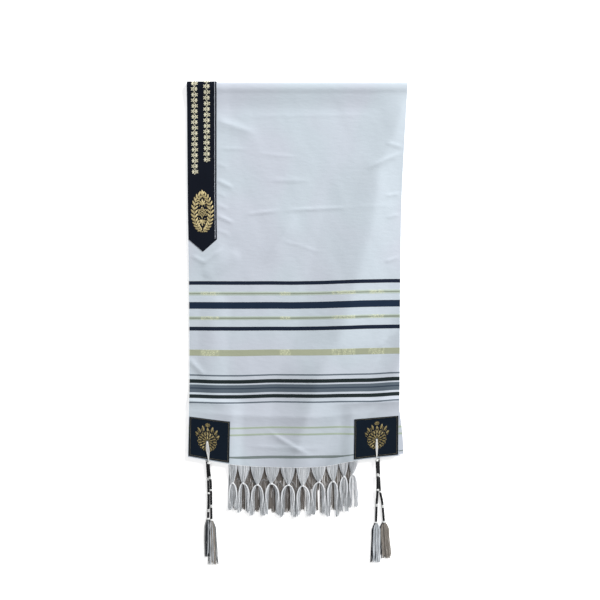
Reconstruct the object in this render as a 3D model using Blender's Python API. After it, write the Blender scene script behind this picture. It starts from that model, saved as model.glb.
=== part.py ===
"""A tallit prayer shawl, folded once across its length and laid flat.

The white cloth is one folded wall: a lower leaf on the floor, a soft roll at the fold and an
upper leaf on top of it. A neckband lies along the left edge and runs round the fold. Each leaf
has two corner patches, and a tassel cord goes through an eyelet in each patch. Knotted fringes
hang from both hems. +Y points from the hems to the fold, and +Z points up from the floor.
"""

import math

import bpy
from mathutils import Vector

# Cloth
CLOTH_THICKNESS = 0.0012
UPPER_LENGTH = 0.889
LOWER_LENGTH = 0.885
LEAF_GAP = 0.0010
FOLD_RADIUS = 0.0040
FOLD_RUN = 0.060
FOLD_BULGE = 0.036
FOLD_STEPS = 8
SEAM_GAP = 0.0003

# Neckband, in shares of the cloth's width and distances from the fold
BAND_THICKNESS = 0.0010
BAND_LEFT = 0.002
BAND_RIGHT = 0.1353
BAND_SHOULDER = 0.3635
BAND_TIP = 0.392
BAND_TIP_SHARE = 0.97

# Corner patches, in shares of the cloth's width and distances from the fold
PATCH_THICKNESS = 0.0010
PATCH_INSET = 0.003
LEFT_PATCH_EDGE = 0.196
RIGHT_PATCH_EDGE = 0.787
PATCH_TOP = 0.789
PATCH_HEM_INSET = 0.003

# Eyelets and the tassel cords that go through them
EYELET_RADIUS = 0.0034
EYELET_SIDES = 12
EYELET_DISTANCE = 0.846
CORD_HALF_WIDTH = 0.0019
CORD_HALF_HEIGHT = 0.0007
CORD_HEIGHT = 2 * CORD_HALF_HEIGHT
CORD_SIDES = 6
TURN_STEPS = 6
RUN_STEPS = 2
STEM_HALF_WIDTH = 0.0021
STEM_HALF_HEIGHT = 0.0018
KNOT_HALF_WIDTH = 0.0031
KNOT_HALF_HEIGHT = 0.0024
KNOT_HALF_LENGTH = 0.0036
# Along a knot, as a share of its half length, and how far it swells from stem to knot
KNOT_PROFILE = ((-1.0, 0.0), (-0.5, 1.0), (0.5, 1.0), (1.0, 0.0))
STEM_SIDES = 6
TASSEL_STRANDS = 12
TASSEL_RADIUS = 0.00095
TASSEL_ROOT = 0.35
TASSEL_HEIGHTS = (0.0011, 0.0032)
TASSEL_STEPS = 3
TASSEL_SIDES = 3
TASSEL_UNEVEN = 0.006
TASSEL_SWAY = 0.001
STRAND_ROOT_SPREAD = 0.0019
STRAND_ROOT_RISE = 0.0007

# Fringes
FRINGE_SPANS = {True: (0.200, 0.805), False: (0.226, 0.757)}
STRIP_LENGTH = 0.0030
FRONT_STRANDS = 6
BACK_STRANDS = 4
BACK_KNOTS = 9
BACK_DROP = 0.038
BACK_LENGTH = 0.106
BACK_WANDER = 0.003
FAN_SHARE = 0.44
LEG_SHARE = 0.46
LEG_BEND = 0.030
STRAND_SPACING = 0.0023
FRINGE_RADIUS = 0.0011
FRINGE_EDGE_REACH = 0.011
FRINGE_UNEVEN = 0.0035
FRINGE_CLOSE = 0.06
FRINGE_SIDES = 3
# Thickness of a strand at its root, both sides of the knot, the bend of its leg and its end
FRINGE_TAPER = (0.58, 0.45, 0.45, 1.0, 0.85)
FRINGE_KNOT = (0.0032, 0.0034)
FRINGE_KNOT_SPACING = 0.00105
BEAD_RINGS = (18, 90, 162)
BEAD_SIDES = 6
# Height of each fringe's strands, and half the height of its knots
FRINGE_LEVELS = {True: (0.0044, 0.0016), False: (0.0009, 0.0008)}

# How far beside a band or patch the lower leaf comes down to the floor: along the cloth, and
# across it as a share of the width
RAMP = 0.014
SIDE_RAMP = 0.0275

# Across-the-cloth and along-the-cloth divisions between named lines
COLUMN_LINES = ((0.0, 3), (BAND_RIGHT, 1), (BAND_RIGHT + SIDE_RAMP, 1),
                (LEFT_PATCH_EDGE, 1), (LEFT_PATCH_EDGE + SIDE_RAMP, 8),
                (RIGHT_PATCH_EDGE - SIDE_RAMP, 1), (RIGHT_PATCH_EDGE, 3), (1.0, 0))
UPPER_LINES = ((FOLD_RADIUS, 3), (FOLD_BULGE, 10), (BAND_SHOULDER, 1), (BAND_TIP, 10), (0.735, 3),
               (PATCH_TOP, 5), (UPPER_LENGTH - PATCH_HEM_INSET, 1), (UPPER_LENGTH, 0))
LOWER_LINES = ((FOLD_RADIUS, 1), (FOLD_BULGE, 3), (BAND_SHOULDER, 1), (BAND_TIP, 1), (BAND_TIP + RAMP, 2),
               (PATCH_TOP - RAMP, 1), (PATCH_TOP, 2), (LOWER_LENGTH - PATCH_HEM_INSET, 1),
               (LOWER_LENGTH, 0))

# Edges of the upper leaf: distance from the fold, left edge, right edge
EDGE_ROWS = (
    (0.000, -0.2555, 0.2555),
    (0.165, -0.2543, 0.2462),
    (0.290, -0.2532, 0.2408),
    (0.455, -0.2505, 0.2382),
    (0.710, -0.2492, 0.2360),
    (0.889, -0.2525, 0.2345),
)

# The lower leaf flares out past the upper one at its right corner
LOWER_FLARE = 0.0150
LOWER_FLARE_START = 0.745

# Rise of the hem towards its corners: share of the width, rise
HEM_ROWS = (
    (0.00, 0.0230),
    (0.20, 0.0062),
    (0.35, 0.0000),
    (0.63, 0.0000),
    (0.80, 0.0148),
    (1.00, 0.0257),
)
HEM_RISE_START = 0.715
HEM_RISE_END = 0.830

# Largest folds of the upper leaf: start x, start distance from the fold, end x, end distance,
# height, half width
FOLD_ROWS = (
    (-0.156, 0.082, 0.190, 0.074, 0.0026, 0.030),
    (-0.114, 0.303, 0.122, 0.289, 0.0032, 0.026),
    (0.168, 0.203, 0.243, 0.167, 0.0042, 0.028),
    (-0.082, 0.229, 0.041, 0.224, 0.0020, 0.028),
    (-0.082, 0.799, 0.043, 0.861, 0.0038, 0.024),
    (0.112, 0.770, 0.048, 0.859, 0.0034, 0.024),
    (0.140, 0.755, 0.236, 0.762, 0.0026, 0.018),
    (-0.248, 0.766, -0.146, 0.772, 0.0026, 0.018),
    (0.006, 0.345, -0.012, 0.735, 0.0034, 0.070),
    (0.200, 0.390, 0.208, 0.710, 0.0030, 0.040),
    (-0.160, 0.100, -0.150, 0.340, 0.0028, 0.022),
    (-0.200, 0.440, -0.150, 0.404, 0.0030, 0.024),
    (-0.190, 0.520, -0.196, 0.700, 0.0024, 0.040),
)

# Front fringe knots: x, drop below the hem, length of the fringe there
FRONT_KNOTS = (
    (-0.1500, 0.0440, 0.104),
    (-0.1255, 0.0417, 0.108),
    (-0.0920, 0.0428, 0.112),
    (-0.0598, 0.0391, 0.110),
    (-0.0200, 0.0414, 0.114),
    (0.0126, 0.0431, 0.112),
    (0.0503, 0.0363, 0.110),
    (0.0835, 0.0387, 0.118),
    (0.1085, 0.0329, 0.112),
    (0.1280, 0.0315, 0.106),
)

# Tassel cords: the leaf's side, the eyelet's x, the stem as rows of distance below the hem, x and
# height, the knots as distances below the hem, and the tassel's end as distance, x and half width
TASSEL_ROWS = {
    "tassel_front_left": {
        "upper": True,
        "eyelet": -0.2078,
        "stem": ((0.006, -0.2046, 0.0083), (0.024, -0.2030, 0.0076), (0.054, -0.1995, 0.0027),
                 (0.140, -0.1985, 0.0027)),
        "knots": (0.006, 0.040, 0.069, 0.106, 0.138),
        "end": (0.241, -0.1916, 0.0085),
    },
    "tassel_back_left": {
        "upper": False,
        "eyelet": -0.2150,
        "stem": ((0.006, -0.2092, 0.0027), (0.050, -0.2078, 0.0027), (0.100, -0.2066, 0.0027),
                 (0.142, -0.2078, 0.0027)),
        "knots": (0.006, 0.048, 0.081, 0.121, 0.140),
        "end": (0.225, -0.2130, 0.0075),
    },
    "tassel_front_right": {
        "upper": True,
        "eyelet": 0.1835,
        "stem": ((0.006, 0.1835, 0.0083), (0.054, 0.1872, 0.0080), (0.080, 0.1858, 0.0064),
                 (0.106, 0.1838, 0.0027), (0.152, 0.1819, 0.0027)),
        "knots": (0.006, 0.039, 0.074, 0.110, 0.150),
        "end": (0.242, 0.1811, 0.0104),
    },
    "tassel_back_right": {
        "upper": False,
        "eyelet": 0.1915,
        "stem": ((0.006, 0.1886, 0.0027), (0.056, 0.1892, 0.0027), (0.100, 0.1965, 0.0027),
                 (0.154, 0.2035, 0.0027)),
        "knots": (0.006, 0.045, 0.082, 0.116, 0.152),
        "end": (0.235, 0.2085, 0.0110),
    },
}

COLOURS = {
    "cloth": (0.78, 0.81, 0.86),
    "navy": (0.012, 0.019, 0.055),
    "fringe_light": (0.52, 0.54, 0.57),
    "fringe_shaded": (0.34, 0.31, 0.29),
    "cord": (0.50, 0.52, 0.55),
}


def make_material(name, colour, roughness):
    """A plain Principled material."""
    material = bpy.data.materials.new(name)
    material.use_nodes = True
    shader = material.node_tree.nodes["Principled BSDF"]
    shader.inputs["Base Color"].default_value = (*COLOURS[colour], 1.0)
    shader.inputs["Roughness"].default_value = roughness
    shader.inputs["Metallic"].default_value = 0.0
    return material


def add_object(name, vertices, faces, material):
    """One mesh object from its points and faces."""
    mesh = bpy.data.meshes.new(name)
    mesh.from_pydata([tuple(point) for point in vertices], [], faces)
    mesh.materials.append(material)
    mesh.validate()
    model = bpy.data.objects.new(name, mesh)
    bpy.context.scene.collection.objects.link(model)
    return model


def smoothstep(low, high, value):
    """0 below low, 1 above high, and a smooth rise between them."""
    share = min(max((value - low) / (high - low), 0.0), 1.0)
    return share * share * (3.0 - 2.0 * share)


def mix(first, second, share):
    """The value that lies a share of the way from first to second."""
    return first + (second - first) * share


def from_rows(rows, value, column):
    """A smooth curve through one column of a table, read at a value of its first column."""
    last = len(rows) - 1
    index = 0
    while index < last - 1 and value > rows[index + 1][0]:
        index += 1
    before, start, end, after = (rows[min(max(index + step, 0), last)] for step in (-1, 0, 1, 2))
    span = end[0] - start[0]
    share = min(max((value - start[0]) / span, 0.0), 1.0)
    start_slope = (end[column] - before[column]) / (end[0] - before[0])
    end_slope = (after[column] - start[column]) / (after[0] - start[0])
    square, cube = share * share, share * share * share
    return ((2 * cube - 3 * square + 1) * start[column] + (cube - 2 * square + share) * span * start_slope
            + (3 * square - 2 * cube) * end[column] + (cube - square) * span * end_slope)


def divide(lines):
    """The positions from a table of lines and the number of steps after each."""
    positions = []
    for (start, steps), (end, _) in zip(lines, lines[1:]):
        positions += [mix(start, end, step / steps) for step in range(steps)]
    return positions + [lines[-1][0]]


def plan(across, distance, upper):
    """Where a point of a leaf lies, seen from above."""
    left = from_rows(EDGE_ROWS, distance, 1)
    right = from_rows(EDGE_ROWS, distance, 2)
    if not upper:
        right += LOWER_FLARE * smoothstep(LOWER_FLARE_START, LOWER_LENGTH, distance)
    rise = from_rows(HEM_ROWS, across, 1) * smoothstep(HEM_RISE_START, HEM_RISE_END, distance)
    return mix(left, right, across), rise - distance


def fold_height(x, distance):
    """How high the soft folds lift the upper leaf."""
    height = 0.0
    here = Vector((x, distance))
    for x_start, distance_start, x_end, distance_end, fold, half_width in FOLD_ROWS:
        start = Vector((x_start, distance_start))
        along = Vector((x_end, distance_end)) - start
        share = min(max((here - start).dot(along) / along.length_squared, 0.0), 1.0)
        reach = (here - start - along * share).length / half_width
        if reach < 1.0:
            height += fold * (1.0 - reach * reach) ** 2
    return height


def patch_share(across, distance):
    """1 on the corner patches, and down to 0 beside them."""
    left = smoothstep(LEFT_PATCH_EDGE + SIDE_RAMP, LEFT_PATCH_EDGE, across)
    right = smoothstep(RIGHT_PATCH_EDGE - SIDE_RAMP, RIGHT_PATCH_EDGE, across)
    return max(left, right) * smoothstep(PATCH_TOP - RAMP, PATCH_TOP, distance)


def lower_lift(across, distance):
    """How far the lower leaf is lifted by what lies between it and the floor."""
    band = smoothstep(BAND_RIGHT + SIDE_RAMP, BAND_RIGHT, across)
    band *= smoothstep(BAND_TIP + RAMP, BAND_TIP, distance)
    band_height = BAND_THICKNESS + SEAM_GAP
    patch_height = CORD_HEIGHT + PATCH_THICKNESS + 3 * SEAM_GAP
    return max(band * band_height, patch_share(across, distance) * patch_height)


def upper_gap(across, distance):
    """Gap between the leaves, wider at the corners, where the tassel cords pass."""
    cords = CORD_HEIGHT + 2 * SEAM_GAP - LEAF_GAP
    return LEAF_GAP + cords * patch_share(across, distance)


def middle_of_cloth(across, along):
    """A point half way through the cloth; along is below 0 on the lower leaf."""
    quarter = FOLD_RADIUS * math.pi / 2
    upper = along > 0
    if abs(along) <= quarter:
        angle = along / FOLD_RADIUS
        distance = FOLD_RADIUS * (1.0 - math.cos(angle))
        x, y = plan(across, distance, upper)
        height = FOLD_RADIUS * (1.0 + math.sin(angle))
        return Vector((x, y, lower_lift(across, distance) + CLOTH_THICKNESS / 2 + height))
    distance = FOLD_RADIUS + abs(along) - quarter
    x, y = plan(across, distance, upper)
    height = lower_lift(across, distance) + CLOTH_THICKNESS / 2
    if upper:
        closed = CLOTH_THICKNESS + upper_gap(across, distance)
        height += mix(2 * FOLD_RADIUS, closed, smoothstep(FOLD_RADIUS, FOLD_RUN, distance))
        height += fold_height(x, distance) * smoothstep(FOLD_RADIUS, FOLD_RUN, distance)
    return Vector((x, y, height))


def along_at(distance, upper):
    """The place along the cloth that lies at a distance from the fold."""
    along = distance - FOLD_RADIUS + FOLD_RADIUS * math.pi / 2
    return along if upper else -along


def off_cloth(across, along, offset):
    """A point at an offset from the middle of the cloth, outwards above 0."""
    step = 0.0005
    down = middle_of_cloth(across, along + step) - middle_of_cloth(across, along - step)
    over = middle_of_cloth(across + step, along) - middle_of_cloth(across - step, along)
    return middle_of_cloth(across, along) + down.cross(over).normalized() * offset


def wall(name, grid, inner, outer, material):
    """A closed wall over a grid of places on the cloth, from its inner to its outer offset."""
    rows, columns = len(grid), len(grid[0])
    vertices = [off_cloth(*place, offset) for offset in (outer, inner) for row in grid for place in row]
    faces = []
    back = rows * columns
    for row in range(rows - 1):
        for column in range(columns - 1):
            first = row * columns + column
            quad = (first, first + columns, first + columns + 1, first + 1)
            faces.append(quad)
            faces.append(tuple(back + corner for corner in reversed(quad)))
    border = [column for column in range(columns)]
    border += [row * columns + columns - 1 for row in range(1, rows)]
    border += [(rows - 1) * columns + column for column in reversed(range(columns - 1))]
    border += [row * columns for row in reversed(range(1, rows - 1))]
    for first, second in zip(border, border[1:] + border[:1]):
        faces.append((first, second, back + second, back + first))
    return add_object(name, vertices, faces, material)


def cloth_rows():
    """Places along the cloth from the lower hem round the fold to the upper hem."""
    quarter = FOLD_RADIUS * math.pi / 2
    lower = [along_at(distance, False) for distance in reversed(divide(LOWER_LINES)[1:])]
    fold = [mix(-quarter, quarter, step / FOLD_STEPS) for step in range(FOLD_STEPS + 1)]
    upper = [along_at(distance, True) for distance in divide(UPPER_LINES)[1:]]
    return lower + fold + upper


def make_cloth(material):
    """The folded cloth, a wall all the way from hem to hem."""
    columns = divide(COLUMN_LINES)
    grid = [[(across, along) for across in columns] for along in cloth_rows()]
    return wall("shawl_cloth", grid, -CLOTH_THICKNESS / 2, CLOTH_THICKNESS / 2, material)


def columns_between(start, end):
    """The cloth's columns inside a span, with the span's own ends."""
    return [start] + [place for place in divide(COLUMN_LINES) if start < place < end] + [end]


def rows_between(start, end):
    """The cloth's rows from start to end, both ends included."""
    return [along for along in cloth_rows() if start - SEAM_GAP < along < end + SEAM_GAP]


def make_band(material):
    """The neckband, pointed at both ends, on the outside of the cloth and round its fold."""
    columns = columns_between(BAND_LEFT, BAND_RIGHT)
    reach = along_at(BAND_SHOULDER, True)
    grid = [[(across, along) for across in columns] for along in rows_between(-reach, reach)]
    tip_middle = (BAND_LEFT + BAND_RIGHT) / 2
    tip_row = [mix(across, tip_middle, BAND_TIP_SHARE) for across in columns]
    tip = along_at(BAND_TIP, True)
    grid.insert(0, [(across, -tip) for across in tip_row])
    grid.append([(across, tip) for across in tip_row])
    inner = CLOTH_THICKNESS / 2 + SEAM_GAP
    return wall("neckband", grid, inner, inner + BAND_THICKNESS, material)


def make_patch(name, upper, left_side, material):
    """A square corner patch on the outside of one leaf."""
    if left_side:
        columns = columns_between(PATCH_INSET, LEFT_PATCH_EDGE)
    else:
        columns = columns_between(RIGHT_PATCH_EDGE, 1 - PATCH_INSET)
    length = UPPER_LENGTH if upper else LOWER_LENGTH
    start, end = sorted((along_at(PATCH_TOP, upper), along_at(length - PATCH_HEM_INSET, upper)))
    grid = [[(across, along) for across in columns] for along in rows_between(start, end)]
    inner = CLOTH_THICKNESS / 2 + SEAM_GAP
    return wall(name, grid, inner, inner + PATCH_THICKNESS, material)


def tube(path, half_widths, half_heights, sides, across=None):
    """Points and faces of a closed tube along a path; across fixes its width direction."""
    vertices, faces = [], []
    for index, point in enumerate(path):
        ahead = path[min(index + 1, len(path) - 1)] - path[max(index - 1, 0)]
        ahead.normalize()
        wide = Vector(across) if across else ahead.cross(Vector((0, 0, 1))).normalized()
        high = wide.cross(ahead).normalized()
        for side in range(sides):
            turn = 2 * math.pi * side / sides + math.pi / 2
            vertices.append(point + wide * half_widths[index] * math.cos(turn)
                            + high * half_heights[index] * math.sin(turn))
    for ring in range(len(path) - 1):
        for side in range(sides):
            first = ring * sides + side
            second = ring * sides + (side + 1) % sides
            faces.append((first, second, second + sides, first + sides))
    faces.append(tuple(reversed(range(sides))))
    faces.append(tuple(range((len(path) - 1) * sides, len(path) * sides)))
    return vertices, faces


def bead(centre, half_width, half_height, half_length):
    """Points and faces of a rounded knot whose length runs along Y."""
    path, widths, heights = [], [], []
    for degrees in BEAD_RINGS:
        turn = math.radians(degrees)
        path.append(centre + Vector((0, half_length * math.cos(turn), 0)))
        widths.append(half_width * math.sin(turn))
        heights.append(half_height * math.sin(turn))
    return tube(path, widths, heights, BEAD_SIDES)


def fuse(name, shapes, material):
    """One closed body from closed shapes that overlap."""
    pieces = [add_object(f"{name}_piece", *shape, material) for shape in shapes]
    others = bpy.data.collections.new(f"{name}_pieces")
    for piece in pieces[1:]:
        others.objects.link(piece)
    union = pieces[0].modifiers.new("fuse", "BOOLEAN")
    union.operation = "UNION"
    union.operand_type = "COLLECTION"
    union.collection = others
    union.use_self = True
    graph = bpy.context.evaluated_depsgraph_get()
    mesh = bpy.data.meshes.new_from_object(pieces[0].evaluated_get(graph))
    mesh.name = name
    model = bpy.data.objects.new(name, mesh)
    bpy.context.scene.collection.objects.link(model)
    for piece in pieces:
        bpy.data.objects.remove(piece)
    bpy.data.collections.remove(others)
    return model


def make_strip(upper):
    """The narrow heading that the fringe hangs from, just off the hem."""
    hem = along_at(UPPER_LENGTH if upper else LOWER_LENGTH, upper)
    places = columns_between(*FRINGE_SPANS[upper])
    vertices, faces = [], []
    for across in places:
        edge = middle_of_cloth(across, hem)
        for below, height in ((SEAM_GAP, -1), (SEAM_GAP + STRIP_LENGTH, -1),
                              (SEAM_GAP + STRIP_LENGTH, 1), (SEAM_GAP, 1)):
            vertices.append(edge + Vector((0, -below, height * CLOTH_THICKNESS / 2)))
    corners = 4
    for step in range(len(places) - 1):
        for corner in range(corners):
            first = step * corners + corner
            second = step * corners + (corner + 1) % corners
            faces.append((first, first + corners, second + corners, second))
    faces.append(tuple(range(corners)))
    faces.append(tuple(reversed(range((len(places) - 1) * corners, len(places) * corners))))
    return vertices, faces


def hem_point(x, upper):
    """The point of a hem at an x."""
    length = UPPER_LENGTH if upper else LOWER_LENGTH
    left, _ = plan(0.0, length, upper)
    right, _ = plan(1.0, length, upper)
    return middle_of_cloth((x - left) / (right - left), along_at(length, upper))


def fringe_unit(knot, before, after, upper, strands):
    """Strands that run from the hem into one knot, and from it into two legs."""
    x, drop, length = knot
    level, knot_height = FRINGE_LEVELS[upper]
    knot_width, knot_length = FRINGE_KNOT
    edge = hem_point(x, upper)
    centre = Vector((x, edge.y - drop, level))
    shapes = [bead(centre, knot_width, knot_height, knot_length)]
    half = strands // 2
    for number in range(strands):
        share = (number + 0.5) / strands
        root_x = mix(mix(x, before, FAN_SHARE), mix(x, after, FAN_SHARE), share)
        root = hem_point(root_x, upper) + Vector((0, -SEAM_GAP - STRIP_LENGTH / 2, 0))
        outward = number - (strands - 1) / 2
        if number < half:
            leg_x = mix(x, before, LEG_SHARE) + number * STRAND_SPACING
        else:
            leg_x = mix(x, after, LEG_SHARE) - (strands - 1 - number) * STRAND_SPACING
        end_y = edge.y - length + FRINGE_UNEVEN * math.sin(number * number + centre.x / STRAND_SPACING)
        knot_x = outward * FRINGE_KNOT_SPACING
        path = [root,
                centre + Vector((knot_x, knot_length, 0)),
                centre + Vector((knot_x, -knot_length, 0)),
                Vector((leg_x, centre.y - LEG_BEND, level)),
                Vector((mix(leg_x, x, FRINGE_CLOSE), end_y, level))]
        radii = [FRINGE_RADIUS * share for share in FRINGE_TAPER]
        shapes.append(tube(path, radii, radii, FRINGE_SIDES))
    return shapes


def back_knots():
    """Knots of the back fringe, evenly spread but for a little wandering."""
    left, right = (plan(across, LOWER_LENGTH, False)[0] for across in FRINGE_SPANS[False])
    knots = []
    for number in range(BACK_KNOTS):
        wander = math.sin(2.3 * number)
        x = mix(left, right, (number + 0.5) / BACK_KNOTS) + BACK_WANDER * wander
        knots.append((x, BACK_DROP + BACK_WANDER * wander, BACK_LENGTH + BACK_WANDER * wander))
    return knots


def make_fringe(name, knots, upper, strands, material):
    """A knotted fringe on its heading strip."""
    shapes = [make_strip(upper)]
    for index, knot in enumerate(knots):
        before = knots[index - 1][0] if index else knot[0] - FRINGE_EDGE_REACH
        after = knots[index + 1][0] if index + 1 < len(knots) else knot[0] + FRINGE_EDGE_REACH
        shapes += fringe_unit(knot, before, after, upper, strands)
    return fuse(name, shapes, material)


def across_at(x, distance, upper):
    """The share of a leaf's width at which an x lies."""
    left, _ = plan(0.0, distance, upper)
    right, _ = plan(1.0, distance, upper)
    return (x - left) / (right - left)


def cord_offsets():
    """Middle of the cord outside the patch and inside the leaf, from the middle of the cloth."""
    outer = CLOTH_THICKNESS / 2 + PATCH_THICKNESS + 2 * SEAM_GAP + CORD_HALF_HEIGHT
    inner = -CLOTH_THICKNESS / 2 - SEAM_GAP - CORD_HALF_HEIGHT
    return outer, inner


def make_eyelet_cutter(name, row):
    """A round cutter through one leaf and its patch."""
    upper = row["upper"]
    along = along_at(EYELET_DISTANCE, upper)
    across = across_at(row["eyelet"], EYELET_DISTANCE, upper)
    outer, inner = cord_offsets()
    centre = off_cloth(across, along, (outer + inner) / 2)
    depth = outer - inner - CORD_HALF_HEIGHT
    bpy.ops.mesh.primitive_cylinder_add(vertices=EYELET_SIDES, radius=EYELET_RADIUS, depth=depth,
                                        location=centre)
    cutter = bpy.context.object
    cutter.name = f"{name}_eyelet"
    cutter.hide_render = True
    cutter.display_type = "WIRE"
    return cutter


def cut(model, cutter):
    """Cuts an eyelet out of the cloth or a patch."""
    hole = model.modifiers.new(cutter.name, "BOOLEAN")
    hole.operation = "DIFFERENCE"
    hole.object = cutter


def loop_path(row, knot):
    """From the first knot over the patch, through the eyelet and back inside the leaf."""
    upper = row["upper"]
    outer, inner = cord_offsets()
    hem_distance = UPPER_LENGTH if upper else LOWER_LENGTH
    radius = (outer - inner) / 2
    turn_distance = EYELET_DISTANCE + radius
    runs = []
    for offset in (outer, inner):
        run = []
        for step in range(RUN_STEPS + 1):
            share = step / RUN_STEPS
            distance = mix(hem_distance - SEAM_GAP, turn_distance, share)
            across = across_at(mix(knot.x, row["eyelet"], share), distance, upper)
            run.append(off_cloth(across, along_at(distance, upper), offset))
        runs.append(run)
    centre = (runs[0][-1] + runs[1][-1]) / 2
    start = runs[0][-1] - centre
    turn = []
    for step in range(1, TURN_STEPS):
        angle = math.pi * step / TURN_STEPS
        turn.append(centre + start * math.cos(angle) + Vector((0, radius * math.sin(angle), 0)))
    return [knot] + runs[0] + turn + list(reversed(runs[1])) + [knot]


def curve_through(points, distance):
    """A smooth curve through rows of distance, x and height, read at a distance."""
    return from_rows(points, distance, 1), from_rows(points, distance, 2)


def stem_tube(row, hem_y):
    """The wound stem, thicker at its knots."""
    path, widths, heights = [], [], []
    for knot in row["knots"]:
        for share, swelling in KNOT_PROFILE:
            distance = knot + share * KNOT_HALF_LENGTH
            x, height = curve_through(row["stem"], distance)
            path.append(Vector((x, hem_y - distance, height)))
            widths.append(mix(STEM_HALF_WIDTH, KNOT_HALF_WIDTH, swelling))
            heights.append(mix(STEM_HALF_HEIGHT, KNOT_HALF_HEIGHT, swelling))
    return tube(path, widths, heights, STEM_SIDES)


def tassel_strands(row, hem_y):
    """Loose strands that spread from the last knot, in two layers."""
    root_distance = row["knots"][-1]
    root_x, root_height = curve_through(row["stem"], root_distance)
    end_distance, end_x, half_width = row["end"]
    in_layer = TASSEL_STRANDS // len(TASSEL_HEIGHTS)
    shapes = []
    for number in range(TASSEL_STRANDS):
        layer = number // in_layer
        place = 2 * (number % in_layer) / (in_layer - 1) - 1
        start_height = root_height + (2 * layer - 1) * STRAND_ROOT_RISE
        length = end_distance - root_distance - TASSEL_UNEVEN * abs(math.sin(2 * number))
        path, radii = [], []
        for step in range(TASSEL_STEPS + 1):
            share = step / TASSEL_STEPS
            spread = mix(STRAND_ROOT_SPREAD, half_width, math.sqrt(share))
            sway = TASSEL_SWAY * share * math.sin(2 * number + math.tau * share)
            height = mix(start_height, TASSEL_HEIGHTS[layer], min(TASSEL_STEPS * share, 1.0))
            x = mix(root_x, end_x, share) + place * spread + sway
            path.append(Vector((x, hem_y - root_distance - length * share, height)))
            radii.append(TASSEL_RADIUS * mix(TASSEL_ROOT, 1.0, min(2 * share, 1.0)))
        shapes.append(tube(path, radii, radii, TASSEL_SIDES))
    return shapes


def make_tassel(name, row, material):
    """A tassel cord: a loop through the eyelet, a wound stem and loose strands."""
    hem_y = hem_point(row["stem"][0][1], row["upper"]).y
    first_distance, first_x, first_height = row["stem"][0]
    knot = Vector((first_x, hem_y - first_distance, first_height))
    path = loop_path(row, knot)
    widths = [CORD_HALF_WIDTH] * len(path)
    heights = [CORD_HALF_HEIGHT] * len(path)
    loop = tube(path, widths, heights, CORD_SIDES, across=(1, 0, 0))
    return fuse(name, [stem_tube(row, hem_y), loop] + tassel_strands(row, hem_y), material)


def centre_on_base():
    """Moves the shawl so that the middle of its underside is at the origin."""
    bpy.context.view_layer.update()
    graph = bpy.context.evaluated_depsgraph_get()
    corners = []
    for model in bpy.data.objects:
        if not model.hide_render:
            box = model.evaluated_get(graph).bound_box
            corners += [model.matrix_world @ Vector(corner) for corner in box]
    low, high = (Vector([pick(corner[axis] for corner in corners) for axis in range(3)])
                 for pick in (min, max))
    shift = Vector(((low.x + high.x) / 2, (low.y + high.y) / 2, low.z))
    for model in bpy.data.objects:
        model.location -= shift


def main():
    for model in list(bpy.data.objects):
        bpy.data.objects.remove(model)
    cloth_material = make_material("white_cloth", "cloth", 0.55)
    navy = make_material("navy_satin", "navy", 0.5)
    light = make_material("fringe_light", "fringe_light", 0.8)
    shaded = make_material("fringe_shaded", "fringe_shaded", 0.8)
    cord = make_material("cord", "cord", 0.75)
    cloth = make_cloth(cloth_material)
    make_band(navy)
    for name, row in TASSEL_ROWS.items():
        patch = make_patch(name.replace("tassel", "patch"), row["upper"], row["eyelet"] < 0, navy)
        cutter = make_eyelet_cutter(name, row)
        cut(cloth, cutter)
        cut(patch, cutter)
        make_tassel(name, row, cord)
    make_fringe("fringe_front", FRONT_KNOTS, True, FRONT_STRANDS, light)
    make_fringe("fringe_back", back_knots(), False, BACK_STRANDS, shaded)
    centre_on_base()


main()
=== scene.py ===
"""The looks of a folded tallit prayer shawl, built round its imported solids.

Every sheet is first made flat, as a maker would cut and embroider it, and then laid on the form of
the folded cloth. In the flat frame the shawl lies opened out with its outer side up: X runs from
its left edge, Y from its fold, below 0 on the leaf that ends up on top, and Z is the height off the
middle of the cloth. All sizes are in metres.
"""

import math

import bpy
import numpy as np
from mathutils import Matrix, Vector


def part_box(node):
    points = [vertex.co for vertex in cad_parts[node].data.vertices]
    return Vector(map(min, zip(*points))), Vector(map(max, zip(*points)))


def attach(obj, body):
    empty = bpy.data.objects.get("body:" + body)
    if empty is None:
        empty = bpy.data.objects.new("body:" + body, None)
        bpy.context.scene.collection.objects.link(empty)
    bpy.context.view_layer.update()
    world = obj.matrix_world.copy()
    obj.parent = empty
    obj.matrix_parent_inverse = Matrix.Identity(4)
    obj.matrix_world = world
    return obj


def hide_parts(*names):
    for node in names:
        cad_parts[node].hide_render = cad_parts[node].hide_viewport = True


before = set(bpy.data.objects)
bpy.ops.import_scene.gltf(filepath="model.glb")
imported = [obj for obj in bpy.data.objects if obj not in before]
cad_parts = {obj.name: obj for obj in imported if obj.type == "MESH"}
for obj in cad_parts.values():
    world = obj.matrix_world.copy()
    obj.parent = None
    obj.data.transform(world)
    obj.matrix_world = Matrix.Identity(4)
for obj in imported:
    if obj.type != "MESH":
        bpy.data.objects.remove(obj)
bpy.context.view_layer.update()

# Camera, straight above the shawl, and lights: name, place, size and power
CAMERA_PLACE = (0.0064, 0.0532, 3.5)
VIEW_WIDTH = 1.389
SENSOR_WIDTH = 36.0
LIGHT_ROWS = (("key", (4.2, 4.7, 2.8), 3.2, 850.0), ("fill", (-2.6, 0.4, 5.6), 3.0, 50.0))
ROOM_STRENGTH = 0.34
FLOOR_GLOW = 0.46

# Cloth, as in the part's source
CLOTH_THICKNESS = 0.0012
UPPER_LENGTH = 0.889
LOWER_LENGTH = 0.885
LEAF_GAP = 0.0010
SEAM_GAP = 0.0003
FOLD_RADIUS = 0.0040
FOLD_QUARTER = FOLD_RADIUS * math.pi / 2

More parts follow.
